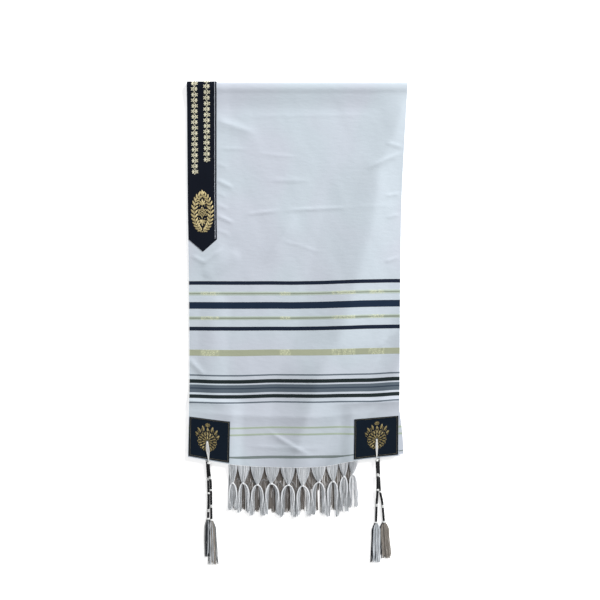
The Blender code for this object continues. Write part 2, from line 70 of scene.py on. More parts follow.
# Behind the fold: where the leaves lie together, and the height and the place of the fold's crown
FOLD_RUN = 0.066
ROLL_HEIGHT = 0.0013
ROLL_DISTANCE = 0.014

# Neckband and patches, in shares of the cloth's width and distances from the fold
BAND_THICKNESS = 0.0010
BAND_LEFT = 0.002
BAND_RIGHT = 0.1353
BAND_SHOULDER = 0.3635
BAND_TIP = 0.392
SIDE_RAMP = 0.070
RAMP = 0.060
PATCH_THICKNESS = 0.0010
PATCH_INSET = 0.003
LEFT_PATCH_EDGE = 0.196
RIGHT_PATCH_EDGE = 0.787
PATCH_TOP = 0.789
PATCH_HEM_INSET = 0.003

# Eyelets and cords
EYELET_RADIUS = 0.0034
EYELET_DISTANCE = 0.846
CORD_HALF_HEIGHT = 0.0007
CORD_HEIGHT = 2 * CORD_HALF_HEIGHT
CORD_HALF_WIDTH = 0.0019
STEM_HALF_WIDTH = 0.0030
STEM_HALF_HEIGHT = 0.0022
KNOT_COVER = 0.00216
LOOP_STRANDS = 5
LOOP_RADIUS = 0.00072
WINDING_PITCH = 0.00125
WINDING_RADIUS = 0.00062
YARN_COUNT = 46
YARN_RADIUS = 0.00062
# Of these tones, the warm one is white yarn darkened with painted shade, where a brush lies in shadow
YARN_TONES = ("light", "grey", "shaded_warm", "dark")

# Edges of the upper leaf: distance from the fold, left edge, right edge
EDGE_ROWS = (
    (0.000, -0.2555, 0.2555),
    (0.165, -0.2543, 0.2462),
    (0.290, -0.2532, 0.2408),
    (0.455, -0.2505, 0.2382),
    (0.710, -0.2492, 0.2360),
    (0.889, -0.2525, 0.2345),
)
LOWER_FLARE = 0.0110
LOWER_FLARE_START = 0.745

# Rise of the hem towards its corners: share of the width, rise
HEM_ROWS = (
    (0.00, 0.0230),
    (0.20, 0.0062),
    (0.35, 0.0000),
    (0.63, 0.0000),
    (0.80, 0.0148),
    (1.00, 0.0257),
)
HEM_RISE_START = 0.715
HEM_RISE_END = 0.830

# Soft folds of the upper leaf: start x, start distance, end x, end distance, height, half width
FOLD_ROWS = (
    (-0.160, 0.100, -0.150, 0.340, 0.0005, 0.030),
    (-0.200, 0.440, -0.150, 0.404, 0.0016, 0.024),
    (-0.190, 0.520, -0.196, 0.700, 0.0024, 0.040),
)

# Long folds that wander down the upper leaf: distance, x of the ridge, height, and the widths of
# the slopes left and right of it; a ridge is rounded over a share of those widths
LONG_FOLDS = (
    (
        (0.012, 0.2480, 0.0050, 0.070, 0.040),
        (0.060, 0.2400, 0.0070, 0.080, 0.050),
        (0.134, 0.2190, 0.0074, 0.085, 0.060),
        (0.195, 0.1900, 0.0080, 0.095, 0.065),
        (0.308, 0.1750, 0.0090, 0.105, 0.075),
        (0.447, 0.1400, 0.0114, 0.105, 0.110),
        (0.597, 0.0960, 0.0152, 0.095, 0.110),
        (0.667, 0.0560, 0.0156, 0.090, 0.112),
        (0.760, 0.0280, 0.0140, 0.080, 0.095),
        (0.850, 0.0000, 0.0080, 0.070, 0.055),
        (0.889, -0.0100, 0.0020, 0.065, 0.055),
    ),
    (
        (0.480, 0.2500, 0.0000, 0.030, 0.050),
        (0.600, 0.2440, 0.0060, 0.034, 0.050),
        (0.670, 0.2300, 0.0076, 0.050, 0.050),
        (0.750, 0.1880, 0.0076, 0.048, 0.060),
        (0.790, 0.1560, 0.0066, 0.046, 0.060),
        (0.860, 0.0960, 0.0050, 0.044, 0.050),
        (0.889, 0.0700, 0.0000, 0.040, 0.060),
    ),
)
RIDGE_ROUNDING = 0.12

# Creases of the upper leaf: start x, start distance, end x, end distance, height, and the widths
# of the slopes before and after the line; for a line that runs to the right, after is hemward
CREASE_ROWS = (
    (-0.1300, 0.3070, -0.0300, 0.2960, 0.0013, 0.008, 0.007),
    (-0.0500, 0.2972, 0.1320, 0.2890, 0.0013, 0.007, 0.008),
    (0.1100, 0.2894, 0.2450, 0.2850, 0.0004, 0.007, 0.008),
    (0.1560, 0.2020, 0.2500, 0.1590, 0.0018, 0.012, 0.016),
    (-0.1780, 0.0800, 0.2100, 0.0770, 0.0004, 0.012, 0.006),
    (-0.1980, 0.0840, -0.0900, 0.1200, 0.0020, 0.018, 0.034),
    (-0.1900, 0.1551, -0.1090, 0.1560, 0.0008, 0.012, 0.005),
    (-0.1000, 0.1620, 0.0120, 0.1740, 0.0007, 0.005, 0.012),
    (-0.0800, 0.2285, 0.0350, 0.2300, 0.0010, 0.016, 0.005),
    (0.0700, 0.7460, 0.3000, 0.7360, 0.0070, 0.060, 0.050),
    (-0.3100, 0.7360, -0.1100, 0.7480, 0.0060, 0.055, 0.048),
    (0.2000, 0.1400, 0.2480, 0.1510, 0.0012, 0.008, 0.010),
    (0.1980, 0.2640, 0.2420, 0.2570, 0.0012, 0.007, 0.009),
    (0.2020, 0.3130, 0.2420, 0.3050, 0.0010, 0.007, 0.009),
    (0.1980, 0.4170, 0.2400, 0.4020, 0.0013, 0.008, 0.010),
    (-0.1920, 0.1850, -0.1560, 0.1990, 0.0006, 0.007, 0.010),
    (-0.1920, 0.2230, -0.1440, 0.2460, 0.0017, 0.008, 0.012),
    (-0.1920, 0.2510, -0.1600, 0.2670, 0.0007, 0.006, 0.008),
    (-0.1920, 0.2780, -0.1570, 0.2950, 0.0009, 0.006, 0.010),
    (-0.1920, 0.3040, -0.1420, 0.3290, 0.0016, 0.008, 0.010),
    (-0.1900, 0.3380, -0.1520, 0.3560, 0.0007, 0.007, 0.011),
    (-0.0350, 0.3670, 0.0150, 0.3790, 0.0006, 0.006, 0.008),
    (0.0000, 0.3750, 0.0600, 0.3970, 0.0006, 0.006, 0.008),
    (0.0050, 0.2990, -0.0850, 0.4300, 0.0022, 0.050, 0.040),
    (-0.1680, 0.3800, -0.2300, 0.4280, 0.0020, 0.016, 0.011),
    (-0.2480, 0.4000, -0.2080, 0.4190, 0.0012, 0.008, 0.010),
    (0.2400, 0.5620, 0.1700, 0.6320, 0.0022, 0.016, 0.022),
    (-0.2560, 0.6350, -0.2080, 0.6840, 0.0018, 0.012, 0.016),
    (-0.0760, 0.8010, 0.0420, 0.8680, 0.0017, 0.007, 0.018),
    (-0.3000, 0.7720, 0.2100, 0.7740, 0.0020, 0.046, 0.034),
    (-0.1300, 0.8420, 0.0800, 0.8470, 0.0008, 0.010, 0.010),
)

# Slack of the upper leaf: height, and length of the waves across and along
SLACK_ROWS = (
    (0.00030, 0.171, 0.233),
    (0.00014, -0.097, 0.131),
    (0.00006, 0.067, 0.059),
    (0.00003, -0.031, 0.038),
)

# Woven stripes by distance from the fold: start, end, colour, share of the colour, roughness of
# the yarn and share of metal in it
STRIPE_ROWS = (
    (0.4603, 0.4687, "navy_yarn", 1.0, 0.78, 0.0),
    (0.4845, 0.4935, "pale_gold_yarn", 0.80, 0.52, 0.25),
    (0.4874, 0.4906, "gold_yarn", 0.85, 0.52, 0.35),
    (0.5086, 0.5241, "blue_yarn", 1.0, 0.78, 0.0),
    (0.5412, 0.5500, "pale_gold_yarn", 0.80, 0.52, 0.25),
    (0.5438, 0.5478, "gold_yarn", 0.85, 0.52, 0.35),
    (0.5656, 0.5745, "navy_yarn", 1.0, 0.78, 0.0),
    (0.6182, 0.6322, "wide_gold_yarn", 1.0, 0.50, 0.40),
    (0.6750, 0.6784, "grey_yarn", 0.95, 0.78, 0.0),
    (0.6864, 0.6950, "black_yarn", 1.0, 0.78, 0.0),
    (0.6983, 0.7164, "grey_yarn", 1.0, 0.78, 0.0),
    (0.7050, 0.7080, "slate_yarn", 1.0, 0.78, 0.0),
    (0.7211, 0.7295, "black_yarn", 1.0, 0.78, 0.0),
    (0.7375, 0.7409, "grey_yarn", 0.95, 0.78, 0.0),
    (0.7960, 0.8002, "olive_yarn", 0.85, 0.45, 0.25),
    (0.8002, 0.8119, "olive_yarn", 0.10, 0.50, 0.0),
    (0.8119, 0.8159, "olive_yarn", 0.85, 0.45, 0.25),
    (0.8633, 0.8697, "low_yarn", 0.90, 0.50, 0.15),
)

# Where painted glints, light reflected by the gold yarn, brighten the gold stripes: places across the flat
# cloth
PAINTED_GLINT_ROWS = ((0.027, 0.069), (0.211, 0.235), (0.332, 0.386), (0.418, 0.454))

# How the weave runs askew: the stripes lie nearer the fold at the right and lower at the left, and
# those of the lowest group lie nearer it again at the right edge
RIGHT_SKEW = 0.0056
LEFT_SKEW = 0.0024
EDGE_SKEW = 0.0042

# Front fringe knots: x, drop below the hem, length of the fringe there
FRONT_KNOTS = (
    (-0.1500, 0.0440, 0.104),
    (-0.1255, 0.0417, 0.108),
    (-0.0920, 0.0428, 0.112),
    (-0.0598, 0.0391, 0.110),
    (-0.0200, 0.0414, 0.114),
    (0.0126, 0.0431, 0.112),
    (0.0503, 0.0363, 0.110),
    (0.0835, 0.0387, 0.118),
    (0.1085, 0.0329, 0.112),
    (0.1280, 0.0315, 0.106),
)
FRONT_LEFT_END = -0.1590
FRONT_LOOSE_WIDTH = 0.0065

# Fringes of the upper and the lower leaf: their span of the hem, and the height and spread of their knots
FRINGE_SPANS = {True: (0.192, 0.805), False: (0.204, 0.757)}
FRINGE_LEVELS = {True: (0.0044, 0.0016), False: (0.0009, 0.0008)}
BACK_KNOTS = 9
BACK_DROP = 0.038
BACK_LENGTH = 0.106
BACK_WANDER = 0.003

# A fringe's fans and legs: how far they reach towards the next knots, the reach past the last knots
# at the left and right, how soon a fan narrows, and the drop of a leg's bend
FAN_SHARE = 0.47
LEG_SHARE = 0.46
LEFT_REACH = 0.0187
RIGHT_REACH = 0.0253
FAN_PULL = 1.7
LEG_BEND = 0.030
LEG_SPREAD = 0.0105
KNOT_WIDTH = 0.0034
THREAD_STEPS = 7

# Places along the back hem where the threads are short and the floor shows, and how long loose
# threads are there and elsewhere
BARE_ROWS = ((0.0290, 0.0350), (0.0470, 0.0700))
BARE_LENGTHS = (0.050, 0.062)
LOOSE_LENGTHS = (0.090, 0.108)

# Steps of the threads that bend or turn: one turn round a knot, a leg's bend, its tail and a hem
RING_STEPS = 12
ARCH_STEPS = 10
TAIL_STEPS = 4
HEADING_STEPS = 300

# Tassel cords: the leaf's side, the eyelet's x, how wide the loop opens, the stem as rows of distance
# below the hem, x and height, the knots as distances below the hem, the tassel's end as distance, x
# and half width, and the yarns across it as the place where each ends, from -1 to 1, and its finish
TASSEL_ROWS = {
    "front_left": {
        "upper": True,
        "eyelet": -0.2078,
        "slack": 2.3,
        "stem": ((0.006, -0.2046, 0.0083), (0.024, -0.2034, 0.0076), (0.054, -0.2000, 0.0031),
                 (0.140, -0.1985, 0.0031)),
        "knots": (0.006, 0.040, 0.069, 0.106, 0.138),
        "end": (0.241, -0.1946, 0.0118),
        "yarns": ((-0.55, "grey"), (-0.30, "light"), (0.05, "shaded_warm"), (0.20, "light"), (0.60, "shaded_warm"),
                  (1.0, "grey")),
    },
    "back_left": {
        "upper": False,
        "eyelet": -0.2150,
        "slack": 1.2,
        "stem": ((0.006, -0.2088, 0.0031), (0.050, -0.2062, 0.0031), (0.100, -0.2052, 0.0031),
                 (0.142, -0.2066, 0.0031)),
        "knots": (0.006, 0.048, 0.081, 0.121, 0.140),
        "end": (0.228, -0.2072, 0.0086),
        "yarns": ((-0.60, "grey"), (0.05, "dark"), (0.25, "light"), (1.0, "dark")),
    },
    "front_right": {
        "upper": True,
        "eyelet": 0.1835,
        "slack": 1.4,
        "stem": ((0.006, 0.1835, 0.0083), (0.054, 0.1857, 0.0080), (0.080, 0.1851, 0.0066),
                 (0.106, 0.1836, 0.0031), (0.152, 0.1822, 0.0031)),
        "knots": (0.006, 0.039, 0.074, 0.110, 0.150),
        "end": (0.242, 0.1811, 0.0116),
        "yarns": ((-0.62, "dark"), (-0.15, "light"), (0.0, "dark"), (0.45, "light"), (0.6, "grey"),
                  (1.0, "light")),
    },
    "back_right": {
        "upper": False,
        "eyelet": 0.1915,
        "slack": 1.2,
        "stem": ((0.006, 0.1878, 0.0031), (0.054, 0.1896, 0.0031), (0.080, 0.1914, 0.0031),
                 (0.106, 0.1964, 0.0031), (0.154, 0.2006, 0.0031)),
        "knots": (0.006, 0.045, 0.082, 0.116, 0.152),
        "end": (0.236, 0.2050, 0.0126),
        "yarns": ((-0.80, "dark"), (-0.30, "shaded_warm"), (-0.15, "dark"), (1.0, "shaded_warm")),
    },
}

# Embroidery: widths and heights of its forms, the motif's x and distance on the band, the crest over
# a patch's ring as its angle, foot and length, the vines as name, x and reach from the fold, and the
# lines of stitches beside the band's edge as their inset and slant
STALK_WIDTH = 0.0016
DOT_HEIGHT = 0.0009
LEAF_HEIGHT = 0.0008
PETAL_HEIGHT = 0.0007
STITCH_HEIGHT = 0.00045
BAND_MOTIF_PLACE = (0.0330385, 0.3035)
OUTER_PETALS = 17
CREST_ROWS = ((0, 0.0232, 0.0098), (20, 0.0240, 0.0150), (40, 0.0242, 0.0140), (60, 0.0242, 0.0095))
CREST_FLOWER = (0.0, 0.0398)
VINE_ROWS = (("outer", 0.0170, 0.2160), ("inner", 0.0443, 0.1880))
VINE_PITCH = 0.0128
VINE_SWING = 0.0027
EDGE_LINE_ROWS = ((0.0047, -10), (0.0034, 10))

# Flat frame, the shells in it as heights off the middle of the cloth, and the step over which the
# cloth's slopes are taken
FLAT_WIDTH = 0.49
CLOTH_HALF = 0.0005
SEWN_INNER = 0.0006
SEWN_OUTER = 0.0015
SEWN_BEVEL = 0.0003
LAY_STEP = 0.0005

# Colours, as on a screen from 0 to 255
COLOURS = {
    "cloth": (193, 200, 209),
    "cloth_shade": (181, 189, 199),
    "cloth_cool": (184, 199, 204),
    "cloth_lavender": (189, 191, 202),
    "navy_yarn": (17, 26, 42),
    "blue_yarn": (20, 34, 52),
    "gold_yarn": (136, 145, 130),
    "pale_gold_yarn": (176, 190, 178),
    "wide_gold_yarn": (165, 170, 147),
    # painted glint: light reflected by the gold yarn
    "painted_glint": (214, 218, 184),
    "low_yarn": (100, 110, 108),
    "olive_yarn": (150, 164, 142),
    "grey_yarn": (76, 86, 95),
    "slate_yarn": (48, 58, 70),
    "black_yarn": (24, 33, 34),
    "band": (10, 14, 23),
    "patch": (10, 19, 29),
    # Each thread colour runs down to its _shade colour, which also gives the painted shade at the edges of
    # the raised forms
    "gold": (222, 206, 152),
    "gold_shade": (92, 74, 40),
    "pale_gold": (252, 249, 226),
    "pale_gold_shade": (172, 165, 128),
    "bronze": (178, 160, 104),
    "bronze_shade": (42, 38, 26),
    "border": (128, 122, 100),
    "border_shade": (50, 48, 40),
    "silver": (176, 180, 188),
    "silver_shade": (92, 96, 106),
    "fringe": (216, 220, 224),
    "fringe_shade": (128, 132, 137),
    # painted highlight on the white fringe yarn
    "fringe_highlight": (244, 245, 247),
    "fringe_highlight_shade": (214, 218, 222),
    # painted shade on the white fringe yarn
    "fringe_shadowed": (150, 154, 158),
    "fringe_shadowed_shade": (92, 95, 98),
    # The back fringe is the same white yarn darkened with painted shade, for it lies in shadow behind the
    # front fringe; its highlight colours are the painted light on its bends, knots and hem threads
    "back_fringe": (128, 122, 117),
    "back_fringe_shade": (76, 71, 68),
    "back_fringe_highlight": (128, 132, 137),
    "back_fringe_highlight_shade": (128, 122, 117),
    "cord_white": (238, 239, 238),
    "cord_white_shade": (170, 172, 172),
    "winding": (14, 16, 20),
    "winding_shade": (4, 5, 8),
    "yarn_light": (222, 226, 230),
    "yarn_light_shade": (150, 158, 166),
    "yarn_grey": (150, 152, 152),
    "yarn_grey_shade": (92, 94, 96),
    # painted shade: white tassel yarn, darkened where it lies in shadow
    "yarn_shaded_warm": (170, 163, 155),
    "yarn_shaded_warm_shade": (104, 98, 92),
    "yarn_dark": (44, 48, 54),
    "yarn_dark_shade": (12, 14, 18),
    "floor": (252, 252, 252),
    "white": (255, 255, 255),
}

# Share of metal in the embroidery threads, and how yarns are streaked
THREAD_METAL = {"gold": 0.35, "pale_gold": 0.04, "bronze": 0.35, "border": 0.25, "silver": 0.30}
LONG_STREAKS = (1500.0, 45.0, 600.0)
YARN_STREAKS = {
    "fringe": LONG_STREAKS,
    "fringe_highlight": LONG_STREAKS,
    "fringe_shadowed": LONG_STREAKS,
    "back_fringe": LONG_STREAKS,
    "back_fringe_highlight": LONG_STREAKS,
    "cord_white": (900.0, 900.0, 900.0),
    "winding": (400.0, 1200.0, 400.0),
    "yarn_light": LONG_STREAKS,
    "yarn_grey": LONG_STREAKS,
    "yarn_shaded_warm": LONG_STREAKS,
    "yarn_dark": LONG_STREAKS,
}


# Small sums
def limited(value):
    """A value held between 0 and 1."""
    return np.clip(value, 0.0, 1.0)


def smoothstep(low, high, value):
    """0 below low, 1 above high, and a smooth rise between them."""
    share = limited((np.asarray(value, float) - low) / (high - low))
    return share * share * (3.0 - 2.0 * share)


def swell(rise, fall, value):
    """A smooth rise from 0 to 1 between two values, and a fall back to 0 between two others."""
    return smoothstep(*rise, value) * (1 - smoothstep(*fall, value))


def mix(first, second, share):
    """The value that lies a share of the way from first to second."""
    return first + (second - first) * share


def from_rows(rows, value):
    """Smooth curves through the columns of a table, read at values of its first column."""
    places, *columns = np.array(rows).T
    last = len(places) - 1
    numbers = np.arange(last + 1)
    ahead, behind = np.minimum(numbers + 1, last), np.maximum(numbers - 1, 0)
    start = np.clip(np.searchsorted(places, value) - 1, 0, last - 1)
    span = places[start + 1] - places[start]
    share = limited((value - places[start]) / span)
    square, cube = share * share, share * share * share
    read = []
    for column in columns:
        slopes = (column[ahead] - column[behind]) / (places[ahead] - places[behind])
        read.append((2 * cube - 3 * square + 1) * column[start]
                    + (cube - 2 * square + share) * span * slopes[start]
                    + (3 * square - 2 * cube) * column[start + 1]
                    + (cube - square) * span * slopes[start + 1])
    return read


def steps(*lines):
    """Places between lines, each given as its place and the number of steps after it."""
    places = []
    for (start, count), (end, _) in zip(lines, lines[1:]):
        places += [mix(start, end, step / count) for step in range(count)]
    return np.array(places + [lines[-1][0]])


# The form of the folded cloth
SHIFT_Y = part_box("shawl_cloth")[1].y - CLOTH_THICKNESS / 2
LEAVES = {True: (UPPER_LENGTH, 1), False: (LOWER_LENGTH, -1)}


def hem_rise(across, distance):
    """How far the hem's rise towards its corners moves a point towards the fold."""
    return from_rows(HEM_ROWS, across)[0] * smoothstep(HEM_RISE_START, HEM_RISE_END, distance)


def plan(across, distance, upper):
    """Where points of a leaf lie, seen from above."""
    left, right = from_rows(EDGE_ROWS, distance)
    flare = LOWER_FLARE * smoothstep(LOWER_FLARE_START, LOWER_LENGTH, distance)
    right = right + np.where(upper, 0.0, flare)
    return mix(left, right, across), SHIFT_Y + hem_rise(across, distance) - distance


def long_fold(rows, x, distance):
    """The height of a long fold; its ridge is a little rounded."""
    ridge, height, left, right = from_rows(rows, distance)
    reach = np.where(x < ridge, (ridge - x) / left, (x - ridge) / right)
    reach = np.hypot(reach, RIDGE_ROUNDING) - RIDGE_ROUNDING
    return np.maximum(height, 0.0) * limited(1.0 - reach) ** 1.5


def beside_line(x, distance, x_start, distance_start, x_end, distance_end):
    """How far points are along a line and to its hemward side, in metres, and the line's length."""
    run, drop = x_end - x_start, distance_end - distance_start
    length = math.hypot(run, drop)
    away_x, away_distance = (x - x_start) / length, (distance - distance_start) / length
    return away_x * run + away_distance * drop, away_distance * run - away_x * drop, length


def fold_height(x, distance):
    """How high the folds, creases and slack lift the upper leaf."""
    height = sum(long_fold(rows, x, distance) for rows in LONG_FOLDS)
    for *line, fold, half_width in FOLD_ROWS:
        along, beside, length = beside_line(x, distance, *line)
        reach = np.hypot(along - np.clip(along, 0.0, length), beside) / half_width
        height += fold * limited(1.0 - reach ** 2) ** 2
    for *line, fold, before, after in CREASE_ROWS:
        along, beside, length = beside_line(x, distance, *line)
        reach = np.where(beside < 0, -beside / before, beside / after)
        height += fold * swell((0.0, 0.35), (0.65, 1.0), along / length) * limited(1.0 - reach) ** 2
    for slack, across_wave, along_wave in SLACK_ROWS:
        swing = np.sin(math.tau * distance / along_wave + 1.3 * np.sin(math.tau * x / across_wave))
        height += slack * (1 + swing * np.cos(math.tau * x / across_wave + distance / along_wave))
    return height


def roll_height(distance):
    """The rounded back of the fold, which stands a little proud."""
    return ROLL_HEIGHT * limited(1.0 - ((distance - ROLL_DISTANCE) / ROLL_DISTANCE) ** 2) ** 2


def patch_share(across, distance):
    """1 on the corner patches, and down to 0 beside them."""
    left = 1 - smoothstep(LEFT_PATCH_EDGE, LEFT_PATCH_EDGE + SIDE_RAMP, across)
    right = smoothstep(RIGHT_PATCH_EDGE - SIDE_RAMP, RIGHT_PATCH_EDGE, across)
    return np.maximum(left, right) * smoothstep(PATCH_TOP - RAMP, PATCH_TOP, distance)


def lower_lift(across, distance):
    """How far the lower leaf is lifted by what lies between it and the floor."""
    band = 1 - smoothstep(BAND_RIGHT, BAND_RIGHT + SIDE_RAMP, across)
    band = band * (1 - smoothstep(BAND_TIP, BAND_TIP + RAMP, distance))
    patch_height = CORD_HEIGHT + PATCH_THICKNESS + 3 * SEAM_GAP
    return np.maximum(band * (BAND_THICKNESS + SEAM_GAP), patch_share(across, distance) * patch_height)


def middle_of_cloth(across, along):
    """Points half way through the cloth; along is below 0 on the lower leaf."""
    across, along = np.broadcast_arrays(np.asarray(across, float), np.asarray(along, float))
    upper = along > 0
    on_fold = np.abs(along) <= FOLD_QUARTER
    angle = np.clip(along / FOLD_RADIUS, -math.pi / 2, math.pi / 2)
    behind = FOLD_RADIUS + np.abs(along) - FOLD_QUARTER
    distance = np.where(on_fold, FOLD_RADIUS * (1 - np.cos(angle)), behind)
    x, y = plan(across, distance, upper)
    cords = CORD_HEIGHT + 2 * SEAM_GAP - LEAF_GAP
    closed = CLOTH_THICKNESS + LEAF_GAP + cords * patch_share(across, distance)
    settled = smoothstep(2 * FOLD_RADIUS, FOLD_RUN, distance)
    rise = mix(2 * FOLD_RADIUS, closed, settled) + fold_height(x, distance) * settled + roll_height(distance)
    rise = np.where(on_fold, FOLD_RADIUS * (1 + np.sin(angle)), np.where(upper, rise, 0.0))
    return np.stack((x, y, lower_lift(across, distance) + CLOTH_THICKNESS / 2 + rise), -1)


def along_at(distance):
    """How far along the cloth from its fold a distance in the plan is."""
    return distance - FOLD_RADIUS + FOLD_QUARTER


def across_at(x, distance, upper):
    """The share of a leaf's width at which an x lies."""
    left, _ = plan(0.0, distance, upper)
    right, _ = plan(1.0, distance, upper)
    return (x - left) / (right - left)


def hem_point(x, upper):
    """The points of a hem at some x."""
    length, side = LEAVES[upper]
    return middle_of_cloth(across_at(x, length, upper), side * along_at(length))


def lay(flat):
    """Points of the flat frame, moved onto the folded cloth, and pressed flat by the floor."""
    across, along, height = flat[:, 0] / FLAT_WIDTH, -flat[:, 1], flat[:, 2]
    down = middle_of_cloth(across, along + LAY_STEP) - middle_of_cloth(across, along - LAY_STEP)
    over = middle_of_cloth(across + LAY_STEP, along) - middle_of_cloth(across - LAY_STEP, along)
    outward = np.cross(down, over)
    outward /= np.linalg.norm(outward, axis=1, keepdims=True)
    laid = middle_of_cloth(across, along) + outward * height[:, None]
    laid[:, 2] = np.maximum(laid[:, 2], 0.0)
    return laid


# Nodes of the finishes
class Wire:
    """A socket of a material's nodes, on which Python's operators add Math nodes."""

    def __init__(self, paint, socket):
        self.paint, self.socket = paint, socket

    def math(self, operation, *others):
        values = {number: value for number, value in enumerate((self, *others))}
        return self.paint.node("ShaderNodeMath", {"operation": operation}, values)

    def __add__(self, other):
        return self.math("ADD", other)

    def __sub__(self, other):
        return self.math("SUBTRACT", other)

    def __rsub__(self, other):
        return (self * -1.0) + other

    def __mul__(self, other):
        return self.math("MULTIPLY", other)

    __radd__ = __add__
    __rmul__ = __mul__

    def rises(self, low, high):
        """0 below low, 1 above high, and a smooth rise between them."""
        settings = {"interpolation_type": "SMOOTHSTEP"}
        return self.paint.node("ShaderNodeMapRange", settings, {0: self, 1: low, 2: high, 3: 0.0, 4: 1.0})

    def between(self, low, high, soft):
        """1 between two values and 0 outside them, with soft ends."""
        return self.rises(low - soft, low + soft) * (1.0 - self.rises(high - soft, high + soft))

    def sine(self, pitch):
        """A wave from -1 to 1 that repeats at a pitch."""
        return (self * (math.tau / pitch)).math("SINE")


def screen_colour(name):
    """A colour of the table as the shader reads it."""
    levels = []
    for level in COLOURS[name]:
        share = level / 255
        levels.append(share / 12.92 if share <= 0.04045 else ((share + 0.055) / 1.055) ** 2.4)
    return (*levels, 1.0)


def brighter(colour, times, more):
    """A colour with each of its levels multiplied and raised."""
    return (*(times * level + more for level in colour[:3]), 1.0)


class Paint:
    """A material, and the one method that makes its nodes."""

    def __init__(self, name, roughness, specular=0.5, sheen=0.0):
        self.material = bpy.data.materials.new(name)
        self.material.use_nodes = True
        self.tree = self.material.node_tree
        self.shader = self.tree.nodes["Principled BSDF"]
        self.set("Roughness", roughness)
        self.set("Specular IOR Level", specular)
        self.set("Sheen Weight", sheen)

    def node(self, kind, settings, inputs, output=0):
        """A node with its settings and its inputs, each a value or a wire, as a wire of its output."""
        made = self.tree.nodes.new(kind)
        for name, value in settings.items():
            setattr(made, name, value)
        for key, value in inputs.items():
            if isinstance(value, Wire):
                self.tree.links.new(value.socket, made.inputs[key])
            else:
                made.inputs[key].default_value = value
        return Wire(self, made.outputs[output])

    def set(self, key, value):
        """Gives the shader a value or a wire."""
        if isinstance(value, Wire):
            self.tree.links.new(value.socket, self.shader.inputs[key])
        else:
            self.shader.inputs[key].default_value = value

    def place(self):
        """Object coordinates."""
        return self.node("ShaderNodeTexCoord", {}, {}, "Object")

    def map_place(self, name):
        """A place in one of the piece's own maps, and its X and Y."""
        uv = self.node("ShaderNodeUVMap", {"uv_map": name}, {})
        return uv, *(self.node("ShaderNodeSeparateXYZ", {}, {0: uv}, axis) for axis in (0, 1))

    def noise(self, vector, scale, detail=2.0, distortion=0.0):
        """Soft noise round a half; three scales stretch it."""
        if isinstance(scale, tuple):
            vector, scale = self.node("ShaderNodeMapping", {}, {"Vector": vector, "Scale": scale}), 1.0
        values = {"Vector": vector, "Scale": scale, "Detail": detail, "Distortion": distortion}
        return self.node("ShaderNodeTexNoise", {}, values)

    def mix(self, first, second, share):
        """A colour between two colours."""
        return self.node("ShaderNodeMix", {"data_type": "RGBA"}, {0: share, 6: first, 7: second}, 2)

    def tones(self, first, second, share):
        """A colour between two colours of the table."""
        return self.mix(screen_colour(first), screen_colour(second), share)

    def bump(self, height):
        """Bumps of a height in metres."""
        values = {"Strength": 1.0, "Distance": 1.0, "Height": height}
        self.set("Normal", self.node("ShaderNodeBump", {}, values))


# Finishes
def make_cloth_finish():
    """White satin weave with its woven stripes, and painted glints of reflected light on the gold ones."""
    paint = Paint("white_satin", 0.5, specular=0.08)
    uv, across, signed = paint.map_place("flat")
    along = signed.math("ABSOLUTE")
    wander = (paint.noise(uv, (7.0, 1.5, 1.0)) - 0.5) * 0.0022
    ragged = (paint.noise(uv, (900.0, 60.0, 1.0)) - 0.5) * 0.0007
    line = along + wander + ragged
    weft = paint.noise(uv, (14.0, 900.0, 1.0), detail=3.0)
    warp = paint.noise(uv, (700.0, 9.0, 1.0))
    mottle = paint.noise(paint.place(), 9.0)
    colour = paint.tones("cloth_shade", "cloth", weft * 0.5 + warp * 0.3 + mottle * 0.35)
    hue = paint.noise(uv, (6.0, 4.5, 1.0), detail=1.0, distortion=0.6).rises(0.36, 0.64)
    colour = paint.mix(colour, paint.tones("cloth_lavender", "cloth_cool", hue), 0.30)
    rough = weft * 0.14 + 0.70
    painted_glint, metal, raised = 0.0, 0.0, 0.0
    # Painted glint: light reflected by the metal gold yarn, painted into the gold stripes' colour at the
    # listed places and in fine specks
    for start, end in PAINTED_GLINT_ROWS:
        painted_glint = across.between(start, end, 0.003) + painted_glint
    painted_glint = painted_glint * paint.noise(uv, (120.0, 60.0, 1.0)).rises(0.30, 0.55)
    painted_sparkle = paint.noise(uv, (330.0, 560.0, 1.0), detail=0.0).rises(0.52, 0.66)
    for start, end, name, strength, yarn_rough, yarn_metal in STRIPE_ROWS:
        stripe = line.between(start, end, 0.0004)
        share = stripe * strength
        yarn = screen_colour(name)
        if "gold" in name:
            yarn = paint.mix(yarn, screen_colour("painted_glint"), painted_glint * (painted_sparkle * 0.75 + 0.25) + weft * 0.12)
        else:
            yarn = paint.mix(yarn, brighter(yarn, 1.5, 0.004), weft)
        colour = paint.mix(colour, yarn, share)
        rough = rough * (1.0 - share) + share * yarn_rough
        metal = stripe * yarn_metal + metal
        raised = stripe * 0.00012 + raised
    hem = along.between(UPPER_LENGTH - 0.0195, UPPER_LENGTH - 0.0185, 0.0003)
    stitches = hem * across.sine(0.0032).rises(-0.2, 0.3)
    paint.set("Base Color", paint.mix(colour, screen_colour("cloth_shade"), stitches * 0.5))
    paint.set("Roughness", rough)
    paint.set("Metallic", metal)
    threads = across.sine(0.0009) * along.sine(0.0009) * 0.000010
    creping = (paint.noise(uv, (60.0, 130.0, 1.0), detail=3.0) - 0.5) * 0.00030
    paint.bump(threads + creping + weft * 0.00004 + raised - stitches * 0.0002)
    return paint.material


